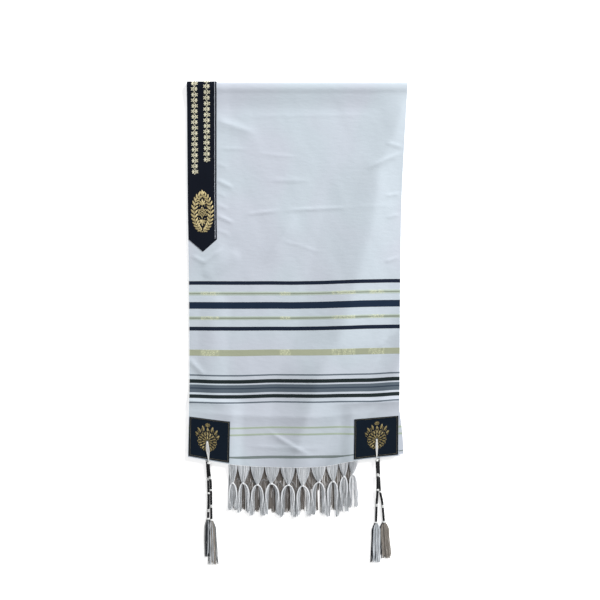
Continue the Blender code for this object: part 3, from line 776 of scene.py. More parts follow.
def make_navy_finish(name):
    """Dark satin with fine ribs across it."""
    paint = Paint(f"{name}_satin", 0.5, specular=0.06)
    uv, across, along = paint.map_place("flat")
    ribs = along.sine(0.0011) * 0.5 + 0.5
    cloudy = paint.noise(uv, (90.0, 420.0, 1.0), detail=3.0)
    broad = paint.noise(uv, (16.0, 22.0, 1.0))
    deep = screen_colour(name)
    share = cloudy * 0.45 + broad * 0.35 + ribs * 0.12
    paint.set("Base Color", paint.mix(deep, brighter(deep, 1.9, 0.002), share))
    paint.set("Roughness", cloudy * 0.20 + 0.66)
    paint.bump(ribs * 0.00005 + cloudy * 0.00008 + across.sine(0.0008) * 0.00002)
    return paint.material


def make_embroidery_finish(name, metal):
    """Metal-wrapped thread in satin stitch, darker towards the edges of each raised form with painted shade;
    the piece's own map runs along each form.
    """
    paint = Paint(f"{name}_thread", 0.4, specular=0.5)
    _, round_form, along_form = paint.map_place("UVMap")
    thread = (along_form + round_form * 0.25).sine(0.085) * 0.5 + 0.5
    patchy = paint.noise(paint.place(), 260.0)
    # Painted shade: each raised form grows darker towards its edges, where it meets the satin beneath
    rim = (round_form + 0.25).sine(1.0).math("ABSOLUTE")
    share = (thread * 0.40 + patchy * 0.75) * (1.0 - rim.math("POWER", 3.0) * 0.9)
    paint.set("Base Color", paint.tones(f"{name}_shade", name, share))
    paint.set("Roughness", patchy * 0.30 + 0.28)
    paint.set("Metallic", metal)
    paint.bump(thread * 0.00022 + patchy * 0.0001)
    return paint.material


def make_yarn_finish(name, streaks):
    """Loose twisted yarn, lighter and darker from thread to thread."""
    paint = Paint(f"{name}_strands", 0.75, specular=0.2, sheen=0.15)
    place = paint.place()
    streak = paint.noise(place, streaks).rises(0.32, 0.66)
    ply = paint.noise(place, (900.0, 1600.0, 900.0), detail=1.0)
    cloudy = paint.noise(place, 38.0, detail=1.0)
    share = streak * 0.62 + ply * 0.22 + cloudy * 0.22
    paint.set("Base Color", paint.tones(f"{name}_shade", name, share))
    paint.set("Roughness", ply * 0.2 + 0.62)
    paint.bump(ply * 0.00018)
    return paint.material


# Hand work on meshes
def select_only(*pieces):
    """Selects some pieces and nothing else; the first one is active."""
    bpy.ops.object.select_all(action="DESELECT")
    for piece in pieces:
        piece.select_set(True)
    bpy.context.view_layer.objects.active = pieces[0]


def points_of(piece):
    """The points of a mesh as rows of numbers."""
    points = np.empty(len(piece.data.vertices) * 3)
    piece.data.vertices.foreach_get("co", points)
    return points.reshape(-1, 3)


def move_points(piece, points):
    """Moves the points of a mesh."""
    piece.data.vertices.foreach_set("co", np.ascontiguousarray(points).ravel())
    piece.data.update()


def modify(piece, kind, **settings):
    """Adds a modifier and applies it."""
    select_only(piece)
    modifier = piece.modifiers.new(kind, kind)
    for name, value in settings.items():
        setattr(modifier, name, value)
    bpy.ops.object.modifier_apply(modifier=modifier.name)


def join(name, pieces):
    """Joins pieces into one."""
    select_only(*pieces)
    bpy.ops.object.join()
    pieces[0].name = name
    pieces[0].data.name = name
    return pieces[0]


def flat_sheet(name, columns, rows):
    """A flat grid with its points on the given columns and rows."""
    bpy.ops.object.select_all(action="DESELECT")
    bpy.ops.mesh.primitive_grid_add(x_subdivisions=len(columns) - 1, y_subdivisions=len(rows) - 1, size=2)
    sheet = bpy.context.object
    sheet.name = name
    sheet.data.name = name
    points = points_of(sheet)
    column = np.rint((points[:, 0] + 1) / 2 * (len(columns) - 1)).astype(int)
    row = np.rint((points[:, 1] + 1) / 2 * (len(rows) - 1)).astype(int)
    move_points(sheet, np.stack((columns[column], rows[row], np.zeros(len(points))), -1))
    return sheet


def store_flat(sheet, skew=None):
    """Keeps the flat frame's X and Y on the sheet, for its weave."""
    points = points_of(sheet)[:, :2]
    if skew is not None:
        points[:, 1] = skew(points)
    layer = sheet.data.uv_layers[0]
    layer.name = "flat"
    corners = np.empty(len(sheet.data.loops), int)
    sheet.data.loops.foreach_get("vertex_index", corners)
    layer.data.foreach_set("uv", points[corners].ravel())


def open_eyelet(sheet, centre, radius):
    """Cuts a round eyelet in a flat sheet."""
    near = np.hypot(*(points_of(sheet)[:, :2] - centre).T)
    select_only(sheet)
    bpy.ops.object.mode_set(mode="EDIT")
    bpy.ops.mesh.select_mode(type="VERT")
    bpy.ops.mesh.select_all(action="DESELECT")
    bpy.ops.object.mode_set(mode="OBJECT")
    sheet.data.vertices.foreach_set("select", near < 0.75 * radius)
    bpy.ops.object.mode_set(mode="EDIT")
    bpy.ops.mesh.delete(type="VERT")
    bpy.ops.mesh.select_non_manifold()
    bpy.ops.object.mode_set(mode="OBJECT")
    rim = np.empty(len(sheet.data.vertices), bool)
    sheet.data.vertices.foreach_get("select", rim)
    points = points_of(sheet)
    away = points[:, :2] - centre
    near = np.hypot(*away.T)
    rim &= near < 3 * radius
    points[rim, :2] = centre + away[rim] * (radius / near[rim])[:, None]
    move_points(sheet, points)


def thicken(sheet, inner, outer):
    """Gives a flat sheet its wall, from one height to another."""
    points = points_of(sheet)
    points[:, 2] = inner
    move_points(sheet, points)
    modify(sheet, "SOLIDIFY", thickness=outer - inner, offset=1.0, use_rim=True)


def enter(piece, slot, *nodes):
    """Gives a piece its body and hides the nodes that it stands for; its slot is not used."""
    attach(piece, "root")
    if nodes:
        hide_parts(*nodes)
    return piece


def lay_piece(piece, material, slot, *nodes, smooth=40):
    """Lays a flat piece on the folded cloth, shades it, and gives it its finish."""
    move_points(piece, lay(points_of(piece)))
    piece.data.materials.clear()
    piece.data.materials.append(material)
    select_only(piece)
    bpy.ops.object.shade_smooth_by_angle(angle=math.radians(smooth))
    return enter(piece, slot, *nodes)


# The cloth
def eyelet_place(row):
    """Where a tassel's eyelet lies in the flat frame."""
    across = across_at(row["eyelet"], EYELET_DISTANCE, row["upper"])
    _, side = LEAVES[row["upper"]]
    return np.array((float(across) * FLAT_WIDTH, -side * along_at(EYELET_DISTANCE)))


def woven_place(points):
    """The distance from the fold at which a point's yarn was woven; the weave runs a little askew."""
    across, along = points[:, 0] / FLAT_WIDTH, -points[:, 1]
    distance = np.abs(along) + FOLD_RADIUS - FOLD_QUARTER
    right = smoothstep(0.45, 1.05, across) * (1 - 0.7 * smoothstep(0.56, 0.72, distance))
    left = limited(1 - ((across - 0.19) / 0.24) ** 2) ** 2 * smoothstep(0.56, 0.70, distance)
    edge = smoothstep(0.84, 1.0, across) * swell((0.60, 0.70), (0.75, 0.79), distance)
    woven = distance - hem_rise(across, distance) * (1 - smoothstep(0.872, 0.880, distance))
    return -np.sign(along) * (woven + RIGHT_SKEW * right - LEFT_SKEW * left + EDGE_SKEW * edge)


def make_cloth():
    """The folded cloth."""
    rows = steps((-along_at(UPPER_LENGTH), 246), (-0.030, 8), (-FOLD_QUARTER, 14), (FOLD_QUARTER, 8),
                 (0.030, 54), (along_at(LOWER_LENGTH), 0))
    cloth = flat_sheet("shawl", steps((0.0, 148), (FLAT_WIDTH, 0)), rows)
    for row in TASSEL_ROWS.values():
        open_eyelet(cloth, eyelet_place(row), EYELET_RADIUS)
    store_flat(cloth, woven_place)
    thicken(cloth, -CLOTH_HALF, CLOTH_HALF)
    return lay_piece(cloth, make_cloth_finish(), "cloth", "shawl_cloth")


# Neckband and patches
def sew_on(sheet, material, node):
    """Gives a flat sheet of navy satin its wall and round edges, and lays it on the cloth."""
    store_flat(sheet)
    thicken(sheet, SEWN_INNER, SEWN_OUTER)
    modify(sheet, "BEVEL", width=SEWN_BEVEL, segments=2, limit_method="ANGLE", angle_limit=math.radians(60))
    return lay_piece(sheet, material, "navy_satin", node)


def make_band(material):
    """The neckband, pointed at both ends and laid round the fold."""
    left, right = BAND_LEFT * FLAT_WIDTH, BAND_RIGHT * FLAT_WIDTH
    shoulder, tip = along_at(BAND_SHOULDER), along_at(BAND_TIP)
    rows = steps((-tip, 10), (-shoulder, 100), (-0.012, 24), (0.012, 100), (shoulder, 10), (tip, 0))
    band = flat_sheet("band", steps((left, 20), (right, 0)), rows)
    points = points_of(band)
    middle = (left + right) / 2
    narrowing = limited((tip - np.abs(points[:, 1])) / (tip - shoulder))
    points[:, 0] = middle + (points[:, 0] - middle) * narrowing
    move_points(band, points)
    modify(band, "WELD", merge_threshold=0.00001)
    return sew_on(band, material, "neckband")


def patch_box(row):
    """A patch's left, right, lower and upper edges in the flat frame."""
    if row["eyelet"] < 0:
        left, right = PATCH_INSET, LEFT_PATCH_EDGE
    else:
        left, right = RIGHT_PATCH_EDGE, 1 - PATCH_INSET
    length, side = LEAVES[row["upper"]]
    ends = sorted(-side * along_at(distance) for distance in (PATCH_TOP, length - PATCH_HEM_INSET))
    return left * FLAT_WIDTH, right * FLAT_WIDTH, *ends


def make_patch(name, row, material):
    """A corner patch with its eyelet."""
    left, right, low, high = patch_box(row)
    patch = flat_sheet(f"corner_{name}", steps((left, 46), (right, 0)), steps((low, 46), (high, 0)))
    open_eyelet(patch, eyelet_place(row), EYELET_RADIUS)
    return sew_on(patch, material, f"patch_{name}")


# Embroidery
def raised_form(segments, rings, shape):
    """One raised form, shaped from a sphere whose poles are the ends of its length."""
    bpy.ops.object.select_all(action="DESELECT")
    bpy.ops.mesh.primitive_uv_sphere_add(segments=segments, ring_count=rings, radius=1)
    form = bpy.context.object
    points = points_of(form)
    width, length, height = shape(points[:, 0], points[:, 2], -points[:, 1])
    move_points(form, np.stack((width, length, height), -1))
    return form


def leaf_shape(side, end, rise):
    """A pointed leaf, 1 long from the origin and 1 wide, with a groove down its middle."""
    round_share = np.sqrt(limited(1 - end * end))
    groove = 0.62 + 0.38 * np.abs(side) / np.maximum(round_share, 0.01)
    return 0.5 * side * round_share ** 0.6, (end + 1) / 2, rise * groove


def bar_shape(side, end, rise):
    """A straight bar with round ends, 1 long from the origin and 1 wide."""
    round_share = np.maximum(np.sqrt(limited(1 - end * end)), 0.01)
    blunt = np.sqrt(limited(1 - end ** 6)) / round_share
    return 0.5 * side * blunt, (end + 1) / 2, rise * blunt


def dot_shape(side, end, rise):
    """A round dot, 1 across and centred on the origin."""
    return 0.5 * side, 0.5 * end, rise


def form_place(x, y, angle, width, length, height):
    """Where a raised form goes; at angle 0 it points up."""
    turned = Matrix.Rotation(angle, 4, "Z") @ Matrix.Diagonal((width, length, height, 1.0))
    return Matrix.Translation((x, y, SEWN_OUTER)) @ turned


def dot_place(x, y, size, height):
    """Where a round dot goes."""
    return form_place(x, y, 0.0, size, size, height)


def bar_between(start, end, width, height):
    """The place of a bar from one point to another."""
    across, along = end[0] - start[0], end[1] - start[1]
    return form_place(*start, math.atan2(-across, along), width, math.hypot(across, along), height)


def arc_point(degrees, half_width, half_height, centre=(0.0, 0.0)):
    """A point of an ellipse; 0 is its top, and the angle grows to the right."""
    turn = math.radians(degrees)
    return centre[0] + half_width * math.sin(turn), centre[1] + half_height * math.cos(turn)


def star_bars(centre, radius, width, height):
    """The bars of a six-pointed star."""
    inner = radius / math.sqrt(3)
    bars = []
    for point in range(6):
        tip = arc_point(60 * point, radius, radius, centre)
        before, after = (arc_point(60 * point + turn, inner, inner, centre) for turn in (-30, 30))
        for start, end in ((tip, before), (tip, after), (before, after)):
            bars.append(bar_between(start, end, width, height))
    return bars


def petal_ring(centre, count, start, length, width, height, first=0.0):
    """Forms that point outwards all round a centre."""
    places = []
    for number in range(count):
        degrees = first + 360 * number / count
        foot = arc_point(degrees, start, start, centre)
        places.append(form_place(*foot, -math.radians(degrees), width, length, height))
    return places


def spray(x, y, heading, leaves, width, height):
    """Leaves of several lengths that spread from one foot; each is its angle and length."""
    return [form_place(x, y, heading - math.radians(degrees), width, length, height)
            for degrees, length in leaves]


def wreath(half_width, half_height, count, leaf_length, leaf_width, height):
    """Two leafy branches that rise from the foot of an ellipse and meet at its top."""
    leaves, bars = [], []
    for side in (-1, 1):
        for number in range(count):
            here, there = (arc_point(side * mix(176, 14, place / count), half_width, half_height)
                           for place in (number, number + 1))
            bars.append(bar_between(here, there, STALK_WIDTH, height))
            heading = math.atan2(here[0] - there[0], there[1] - here[1])
            size = mix(0.82, 1.0, math.sin(math.pi * (number + 1) / (count + 1)))
            leaves += spray(*here, heading, [(turn, leaf_length * size) for turn in (40, -34)],
                            leaf_width * size, height)
    return leaves, bars


def band_motif():
    """A leafy wreath round a six-pointed star, with a spray of leaves above and below the star."""
    leaves, bars = wreath(0.0188, 0.0415, 12, 0.0128, 0.0050, LEAF_HEIGHT)
    bars += star_bars((0.0, 0.0), 0.0128, 0.0020, DOT_HEIGHT)
    leaves += petal_ring((0.0, 0.0), 6, 0.0010, 0.0052, 0.0026, LEAF_HEIGHT, 30)
    dots = []
    fan = ((0, 0.0145), (-34, 0.0115), (34, 0.0115), (-70, 0.0092), (70, 0.0092))
    for up in (-1, 1):
        foot = up * 0.0142
        bars.append(bar_between((0.0, foot), (0.0, foot + up * 0.008), STALK_WIDTH, 0.0007))
        leaves += spray(0.0, foot + up * 0.0035, 0 if up > 0 else math.pi, fan, 0.0044, LEAF_HEIGHT)
        dots += [dot_place(x, foot + up * 0.0005, 0.0026, DOT_HEIGHT) for x in (-0.0062, 0.0062)]
    leaves += spray(0.0, 0.0398, 0, ((0, 0.0130), (-30, 0.0108), (30, 0.0108)), 0.0050, LEAF_HEIGHT)
    dots += [dot_place(x, -0.0448, 0.0030, DOT_HEIGHT) for x in (-0.0036, 0.0, 0.0036)]
    return {"leaf": leaves, "bar": bars, "dot": dots}


def patch_motif():
    """A double ring of petals round the eyelet, with a crest of leaves and a small flower above it."""
    leaves = petal_ring((0.0, 0.0), 11, 0.0052, 0.0082, 0.0039, PETAL_HEIGHT)
    leaves += petal_ring((0.0, 0.0), OUTER_PETALS, 0.0126, 0.0096, 0.0048, PETAL_HEIGHT)
    bars, dots = [], []
    for number in range(OUTER_PETALS):
        place = arc_point(360 / OUTER_PETALS * (number + 0.5), 0.0215, 0.0215)
        dots.append(dot_place(*place, 0.0030, LEAF_HEIGHT))
    for degrees, start, length in CREST_ROWS:
        for side in (-1, 1) if degrees else (1,):
            turn = -math.radians(side * degrees * 0.8)
            foot = arc_point(side * degrees, start, start)
            leaves.append(form_place(*foot, turn, 0.0056, length, PETAL_HEIGHT))
            foot = arc_point(side * (degrees + 10), start, start)
            bars.append(form_place(*foot, turn, 0.0012, length * 0.6, PETAL_HEIGHT))
    leaves += petal_ring(CREST_FLOWER, 8, 0.0012, 0.0052, 0.0030, LEAF_HEIGHT)
    dots.append(dot_place(*CREST_FLOWER, 0.0026, DOT_HEIGHT))
    bars += petal_ring((0.0, 0.0), 26, EYELET_RADIUS + 0.0002, 0.0018, 0.0010, 0.0005)
    return {"leaf": leaves, "bar": bars, "dot": dots}


def row_motif(reach, x):
    """A vine along the band: a waving stem with a flower in each bend and leaves on both sides."""
    bends = round(2 * reach / VINE_PITCH)
    pitch = 2 * reach / bends
    line = []
    for number in range(8 * bends + 1):
        y = number * pitch / 8 - reach
        line.append((x - VINE_SWING * math.sin(math.pi * (y + reach) / pitch), y))
    bars = [bar_between(start, end, 0.0017, 0.0006) for start, end in zip(line, line[1:])]
    leaves, dots = [], []
    for number in range(bends):
        y = (number + 0.5) * pitch - reach
        side = -1 if number % 2 == 0 else 1
        flower = (x - side * 0.0032, y)
        leaves += petal_ring(flower, 5, 0.0008, 0.0046, 0.0029, LEAF_HEIGHT, 90 * side)
        dots.append(dot_place(*flower, 0.0019, DOT_HEIGHT))
        fan = ((38 * side, 0.0058), (90 * side, 0.0052), (142 * side, 0.0058))
        leaves += spray(x + side * 0.0022, y, 0, fan, 0.0028, PETAL_HEIGHT)
    return {"leaf": leaves, "dot": dots, "bar": bars}


def stitch_row(points, pitch, length, width, slant):
    """Places of slanted stitches along a line of points."""
    places = []
    for start, end in zip(points, points[1:]):
        span = math.hypot(end[0] - start[0], end[1] - start[1])
        count = max(1, round(span / pitch))
        heading = math.atan2(start[0] - end[0], end[1] - start[1]) + math.radians(slant)
        for number in range(count):
            share = number / count
            places.append(form_place(mix(start[0], end[0], share), mix(start[1], end[1], share),
                                     heading, width, length, STITCH_HEIGHT))
    return places


def sew(name, forms, places, material, turned=None):
    """Copies each raised form to its places, joins them and lays them on the cloth."""
    copies = []
    for form_name, matrices in places.items():
        for matrix in matrices:
            copy = forms[form_name].copy()
            copy.data = forms[form_name].data.copy()
            copy.data.transform(turned @ matrix if turned else matrix)
            bpy.context.scene.collection.objects.link(copy)
            copies.append(copy)
    return lay_piece(join(name, copies), material, "navy_satin", smooth=60)


def turned_to(x, y, upper):
    """The move of a motif to its place; on the lower leaf it stands the other way up."""
    return Matrix.Translation((x, y, 0.0)) @ Matrix.Rotation(0.0 if upper else math.pi, 4, "Z")


def make_embroidery(finishes):
    """All the raised gold work; returns the pieces on the band and on each patch."""
    forms = {
        "leaf": raised_form(10, 8, leaf_shape),
        "bar": raised_form(8, 6, bar_shape),
        "dot": raised_form(8, 6, dot_shape),
        "stitch": raised_form(6, 5, bar_shape),
    }
    on_band = []
    for name, upper, y in (("front", True, -BAND_MOTIF_PLACE[1]), ("back", False, BAND_MOTIF_PLACE[1])):
        place = turned_to(BAND_MOTIF_PLACE[0], y, upper)
        on_band.append(sew(f"band_motif_{name}", forms, band_motif(), finishes["gold"], place))
    for name, x, reach in VINE_ROWS:
        on_band.append(sew(f"band_row_{name}", forms, row_motif(reach, x), finishes["pale_gold"]))
    shoulder = along_at(BAND_SHOULDER) - 0.001
    lines = []
    for inset, slant in EDGE_LINE_ROWS:
        x = BAND_RIGHT * FLAT_WIDTH - inset
        lines += stitch_row([(x, -shoulder), (x, shoulder)], 0.0030, 0.0038, 0.0013, slant)
    on_band.append(sew("band_edge_line", forms, {"stitch": lines}, finishes["silver"]))
    on_patches = {}
    for name, row in TASSEL_ROWS.items():
        place = turned_to(*eyelet_place(row), row["upper"])
        motif = sew(f"patch_motif_{name}", forms, patch_motif(), finishes["bronze"], place)
        left, right, low, high = patch_box(row)
        left, right, low, high = left + 0.0030, right - 0.0030, low + 0.0024, high - 0.0024
        corners = [(left, low), (right, low), (right, high), (left, high), (left, low)]
        border = stitch_row(corners, 0.0026, 0.0031, 0.0011, 16)
        line = sew(f"patch_line_{name}", forms, {"stitch": border}, finishes["border"])
        on_patches[name] = [motif, line]
    for form in forms.values():
        bpy.data.objects.remove(form)
    return on_band, on_patches


# Threads
def thread_piece(name, runs, materials, resolution=0):
    """One piece of many threads. A run is its points, their radii and the number of its finish."""
    bpy.ops.object.select_all(action="DESELECT")
    bpy.ops.curve.primitive_nurbs_path_add()
    piece = bpy.context.object
    piece.name = name
    line = piece.data
    line.splines.clear()
    line.dimensions = "3D"
    line.fill_mode = "FULL"
    line.bevel_depth = 1.0
    line.bevel_resolution = resolution
    line.use_fill_caps = True
    for material in materials:
        line.materials.append(material)
    for points, radii, number in runs:
        radii = np.broadcast_to(radii, len(points))
        on_floor = np.stack((points[:, 0], points[:, 1], np.maximum(points[:, 2], radii)), -1)
        spline = line.splines.new("POLY")
        spline.points.add(len(points) - 1)
        spline.points.foreach_set("co", np.c_[on_floor, np.ones(len(points))].ravel())
        spline.points.foreach_set("radius", radii)
        spline.material_index = number
        spline.use_smooth = True
    select_only(piece)
    bpy.ops.object.convert(target="MESH")
    return bpy.context.object


def ring_run(centre, half_width, half_height, length, turns, radius, number, lean):
    """A thread wound round a bundle that runs along Y."""
    share = np.linspace(0.0, 1.0, round(RING_STEPS * turns) + 1)
    turn = math.tau * turns * share
    y = centre[1] + length * (share - 0.5) + lean * np.sin(turn)
    points = np.stack((centre[0] + half_width * np.cos(turn), y, centre[2] + half_height * np.sin(turn)), -1)
    return points, radius, number


def back_fringe():
    """Knots of the back fringe, evenly spread but for a little wandering, and the ends of its span."""
    left, right = (float(plan(across, LOWER_LENGTH, False)[0]) for across in FRINGE_SPANS[False])
    knots = []
    for number in range(BACK_KNOTS):
        wander = math.sin(2.3 * number)
        x = mix(left, right, (number + 0.5) / BACK_KNOTS) + BACK_WANDER * wander
        knots.append((x, BACK_DROP + BACK_WANDER * wander, BACK_LENGTH + BACK_WANDER * wander))
    return knots, (left, right)


def fringe_thread(knot, root, reach, side, share, end_y, knot_height, radius, chance):
    """One thread that runs from the hem to its knot, bends there and hangs down as part of a leg."""
    inward = abs(2 * share - 1) if chance.random() < 0.8 else chance.random()
    leg_x = reach - side * mix(LEG_SPREAD, 0.0, inward) * mix(0.6, 1.1, chance.random())
    lift = knot_height * (chance.random() - 0.5)
    level = np.full(THREAD_STEPS - 1, knot[2] + lift)
    at_knot = knot + ((share - 0.5) * KNOT_WIDTH, 0.0, lift * 0.8)
    fall = np.linspace(0.0, 1.0, THREAD_STEPS)[:, None]
    fan = mix(root, at_knot, np.concatenate((fall ** FAN_PULL, fall, fall), 1))
    turn = np.linspace(0.0, math.pi / 2, THREAD_STEPS)[1:]
    bend = LEG_BEND * mix(0.85, 1.15, chance.random())
    arch_x = at_knot[0] + (leg_x - at_knot[0]) * np.sin(turn)
    arch_y = at_knot[1] - bend * (1 - np.cos(turn))
    end_y += 0.007 * (chance.random() - 0.4)
    fall = np.linspace(0.0, 1.0, THREAD_STEPS)[1:]
    sway = 0.0016 * (chance.random() - 0.5) * np.sin(math.pi * fall) + 0.003 * (chance.random() - 0.5) * fall
    hang = np.stack((leg_x + sway + 0.0012 * side * fall, mix(arch_y[-1], end_y, fall), level), -1)
    points = np.concatenate((fan, np.stack((arch_x, arch_y, level), -1), hang))
    radii = radius * np.concatenate((np.linspace(1.0, 0.8, THREAD_STEPS), np.linspace(0.8, 1.0, len(fall)),
                                     np.full(len(fall), 1.0)))
    return points, radii


def arch_highlight_run(knot, reach, side, strand, level, radius):
    """A thicker thread along the outer edge of a leg's bend, in the painted highlight finish where light
    falls on the bend; it thins out on its way down.
    """
    turn = np.linspace(-0.25, math.pi / 2, ARCH_STEPS)
    arch_x = knot[0] + (reach - side * (0.0010 + 0.0014 * strand) - knot[0]) * np.sin(turn)
    arch_y = knot[1] + 0.0008 - 0.0012 * strand - LEG_BEND * (1 - np.cos(turn))
    tail_y = np.linspace(arch_y[-1], arch_y[-1] - 0.026, TAIL_STEPS + 1)[1:]
    tail_x = arch_x[-1] - side * 0.0008 * np.arange(1, TAIL_STEPS + 1)
    level = np.full(ARCH_STEPS + TAIL_STEPS, level)
    radii = radius * np.r_[np.linspace(1.75, 1.5, ARCH_STEPS), np.linspace(1.3, 0.5, TAIL_STEPS)]
    return np.stack((np.r_[arch_x, tail_x], np.r_[arch_y, tail_y], level), -1), radii, 1


def fringe_runs(knots, upper, count, radius, chance):
    """Threads that fan from the hem into each knot, and hang from it in two legs."""
    level, knot_height = FRINGE_LEVELS[upper]
    # Most threads take the plain finish; a few take the painted highlight and a few the painted shade,
    # chosen at random, and the knots take the painted highlight
    tones = (0, 0, 0, 1, 2, 0, 0, 0)
    places = [knots[0][0] - LEFT_REACH, *(knot[0] for knot in knots), knots[-1][0] + RIGHT_REACH]
    runs = []
    for (x, drop, length), before, after in zip(knots, places, places[2:]):
        edge_y = hem_point(x, upper)[1]
        knot = np.array((x, edge_y - drop, level))
        reaches = {-1: mix(x, before, LEG_SHARE), 1: mix(x, after, LEG_SHARE)}
        for number in range(count):
            share = (number + 0.5) / count
            side = -1 if share < 0.5 else 1
            root = hem_point(mix(mix(x, before, FAN_SHARE), mix(x, after, FAN_SHARE), share), upper)
            points, radii = fringe_thread(knot, root, reaches[side], side, share, edge_y - length,
                                          knot_height, radius, chance)
            runs.append((points, radii, tones[chance.integers(len(tones))] if upper else 0))
        arch_level = level + 0.6 * knot_height
        for side, reach in reaches.items():
            runs += [arch_highlight_run(knot, reach, side, strand, arch_level, radius) for strand in (0, 1)]
        runs.append(ring_run(knot, 0.0026, knot_height + 0.0004, 0.0036, 2.5, radius * 1.5, 1, 0.0006))
    return runs


def loose_runs(upper, left, right, count, radius, chance):
    """Threads that slipped their knots and hang straight from the hem."""
    runs = []
    for number in range(count):
        x = mix(left, right, (number + chance.random()) / count)
        bare = any(start < x < end for start, end in BARE_ROWS)
        length = mix(*(BARE_LENGTHS if bare else LOOSE_LENGTHS), chance.random())
        root = hem_point(x, upper)
        share = np.linspace(0.0, 1.0, 10)
        sway = 0.0030 * (chance.random() - 0.5) * np.sin(math.pi * share)
        drift = 0.006 * (chance.random() - 0.5) * share
        level = mix(root[2], 0.0006 + 0.0010 * chance.random(), np.minimum(4 * share, 1.0))
        points = np.stack((x + sway + drift, root[1] - length * share, level), -1)
        runs.append((points, radius, 0))
    return runs


def heading_runs(upper):
    """Two twisted threads along the hem, from which the fringe hangs, in the painted highlight finish."""
    length, side = LEAVES[upper]
    across = np.linspace(*FRINGE_SPANS[upper], HEADING_STEPS)
    edge = middle_of_cloth(across, side * along_at(length))
    runs = []
    for start in (0.0, math.pi):
        turn = math.tau * np.arange(HEADING_STEPS) / 4.0 + start
        offset = np.stack((0.0 * turn, np.cos(turn) * 0.0005 - 0.0006, np.sin(turn) * 0.0004), -1)
        runs.append((edge + offset, 0.0005, 1))
    return runs


def make_fringes(finishes):
    """Both knotted fringes."""
    chance = np.random.default_rng(7)
    front = fringe_runs(FRONT_KNOTS, True, 56, 0.00042, chance) + heading_runs(True)
    front += loose_runs(True, FRONT_LEFT_END, FRONT_LEFT_END + FRONT_LOOSE_WIDTH, 16, 0.00042, chance)
    chance = np.random.default_rng(11)
    # The back fringe's finishes are its white yarn darkened with painted shade, with a painted highlight on
    # its bends, knots and hem threads
    knots, ends = back_fringe()
    back = fringe_runs(knots, False, 44, 0.00045, chance)
    back += loose_runs(False, *ends, 440, 0.00050, chance) + heading_runs(False)
    # The front fringe's highlight and shadowed finishes are its white yarn with painted highlight and
    # painted shade
    front_names, back_names = ("fringe", "fringe_highlight", "fringe_shadowed"), ("back_fringe", "back_fringe_highlight")
    front = thread_piece("fringe_threads_front", front, [finishes[name] for name in front_names])
    back = thread_piece("fringe_threads_back", back, [finishes[name] for name in back_names])
    return [enter(front, "fringe_light", "fringe_front"), enter(back, "fringe_shaded", "fringe_back")]


# Tassels
def loop_line(row, first_knot):
    """The middle of the cord from the first knot over the patch, through the eyelet and back."""
    hem, side = LEAVES[row["upper"]]
    outer = CLOTH_THICKNESS / 2 + PATCH_THICKNESS + 2 * SEAM_GAP + CORD_HALF_HEIGHT
    inner = -CLOTH_THICKNESS / 2 - SEAM_GAP - CORD_HALF_HEIGHT
    radius = (outer - inner) / 2
    share = np.linspace(0.0, 1.0, 12)
    distance = mix(hem - SEAM_GAP, EYELET_DISTANCE + radius, share)
    across = across_at(mix(first_knot[0], row["eyelet"], share), distance, row["upper"])
    flat = np.stack((across * FLAT_WIDTH, -side * along_at(distance), np.full(12, outer)), -1)
    over = lay(flat)
    flat[:, 2] = inner
    under = lay(flat)
    centre = (over[-1] + under[-1]) / 2
    start = over[-1] - centre
    angle = np.linspace(0.0, math.pi, 9)[1:-1, None]
    turn = centre + start * np.cos(angle) + np.array((0.0, radius, 0.0)) * np.sin(angle)
    return over, turn, under[::-1]


def loop_runs(row, first_knot):
    """White strands side by side, from the first knot through the eyelet and back to it."""
    over, turn, under = loop_line(row, first_knot)
    path = np.concatenate(([first_knot], over, turn, under, [first_knot]))
    place = np.linspace(0.0, 1.0, len(path))
    bulge = 0.6 + (row["slack"] - 0.6) * np.sin(math.tau * place) ** 2
    runs = []
    for strand in range(LOOP_STRANDS):
        across = (2 * strand / (LOOP_STRANDS - 1) - 1) * (CORD_HALF_WIDTH - 0.0006)
        points = path.copy()
        points[:, 0] += across * bulge + 0.0003 * np.sin(math.tau * 3 * place + strand)
        runs.append((points, LOOP_RADIUS, 0))
    return runs


def stem_at(row, hem_y, distance):
    """Points of a stem's middle at distances below the hem."""
    distance = np.asarray(distance, float)
    x, height = from_rows(row["stem"], distance)
    return np.stack((x, hem_y - distance, height), -1)


def winding_runs(row, hem_y):
    """Dark thread wound closely round the stem between its knots, on a dark core."""
    runs = []
    for above, below in zip(row["knots"], row["knots"][1:]):
        start, end = above + KNOT_COVER, below - KNOT_COVER
        turns = max(2, round((end - start) / WINDING_PITCH))
        distance = np.linspace(start, end, turns * 10 + 1)
        turn = math.tau * (distance - start) / (end - start) * turns
        middle = stem_at(row, hem_y, distance)
        middle[:, 0] += (STEM_HALF_WIDTH - WINDING_RADIUS) * np.cos(turn)
        middle[:, 2] += (STEM_HALF_HEIGHT - WINDING_RADIUS) * np.sin(turn)
        runs.append((middle, WINDING_RADIUS, 1))
        core = stem_at(row, hem_y, np.linspace(start, end, 8))
        runs.append((core, STEM_HALF_HEIGHT - 1.4 * WINDING_RADIUS, 1))
    return runs


def knot_runs(row, hem_y):
    """White double knots: at each, threads that cross over the stem."""
    runs = []
    for number, knot in enumerate(row["knots"]):
        centre = stem_at(row, hem_y, knot)
        lean = 0.0013 if number % 2 else -0.0013
        for side, size in ((1, 1.0), (-1, 0.86)):
            place = centre + (0.0, side * 0.0007, 0.0)
            runs.append(ring_run(place, 0.0032 * size, 0.0022 * size, 0.0014, 1.5, 0.00088, 0, side * lean))
        runs.append((stem_at(row, hem_y, np.linspace(knot - 0.0026, knot + 0.0026, 4)), 0.0018, 0))
    return runs


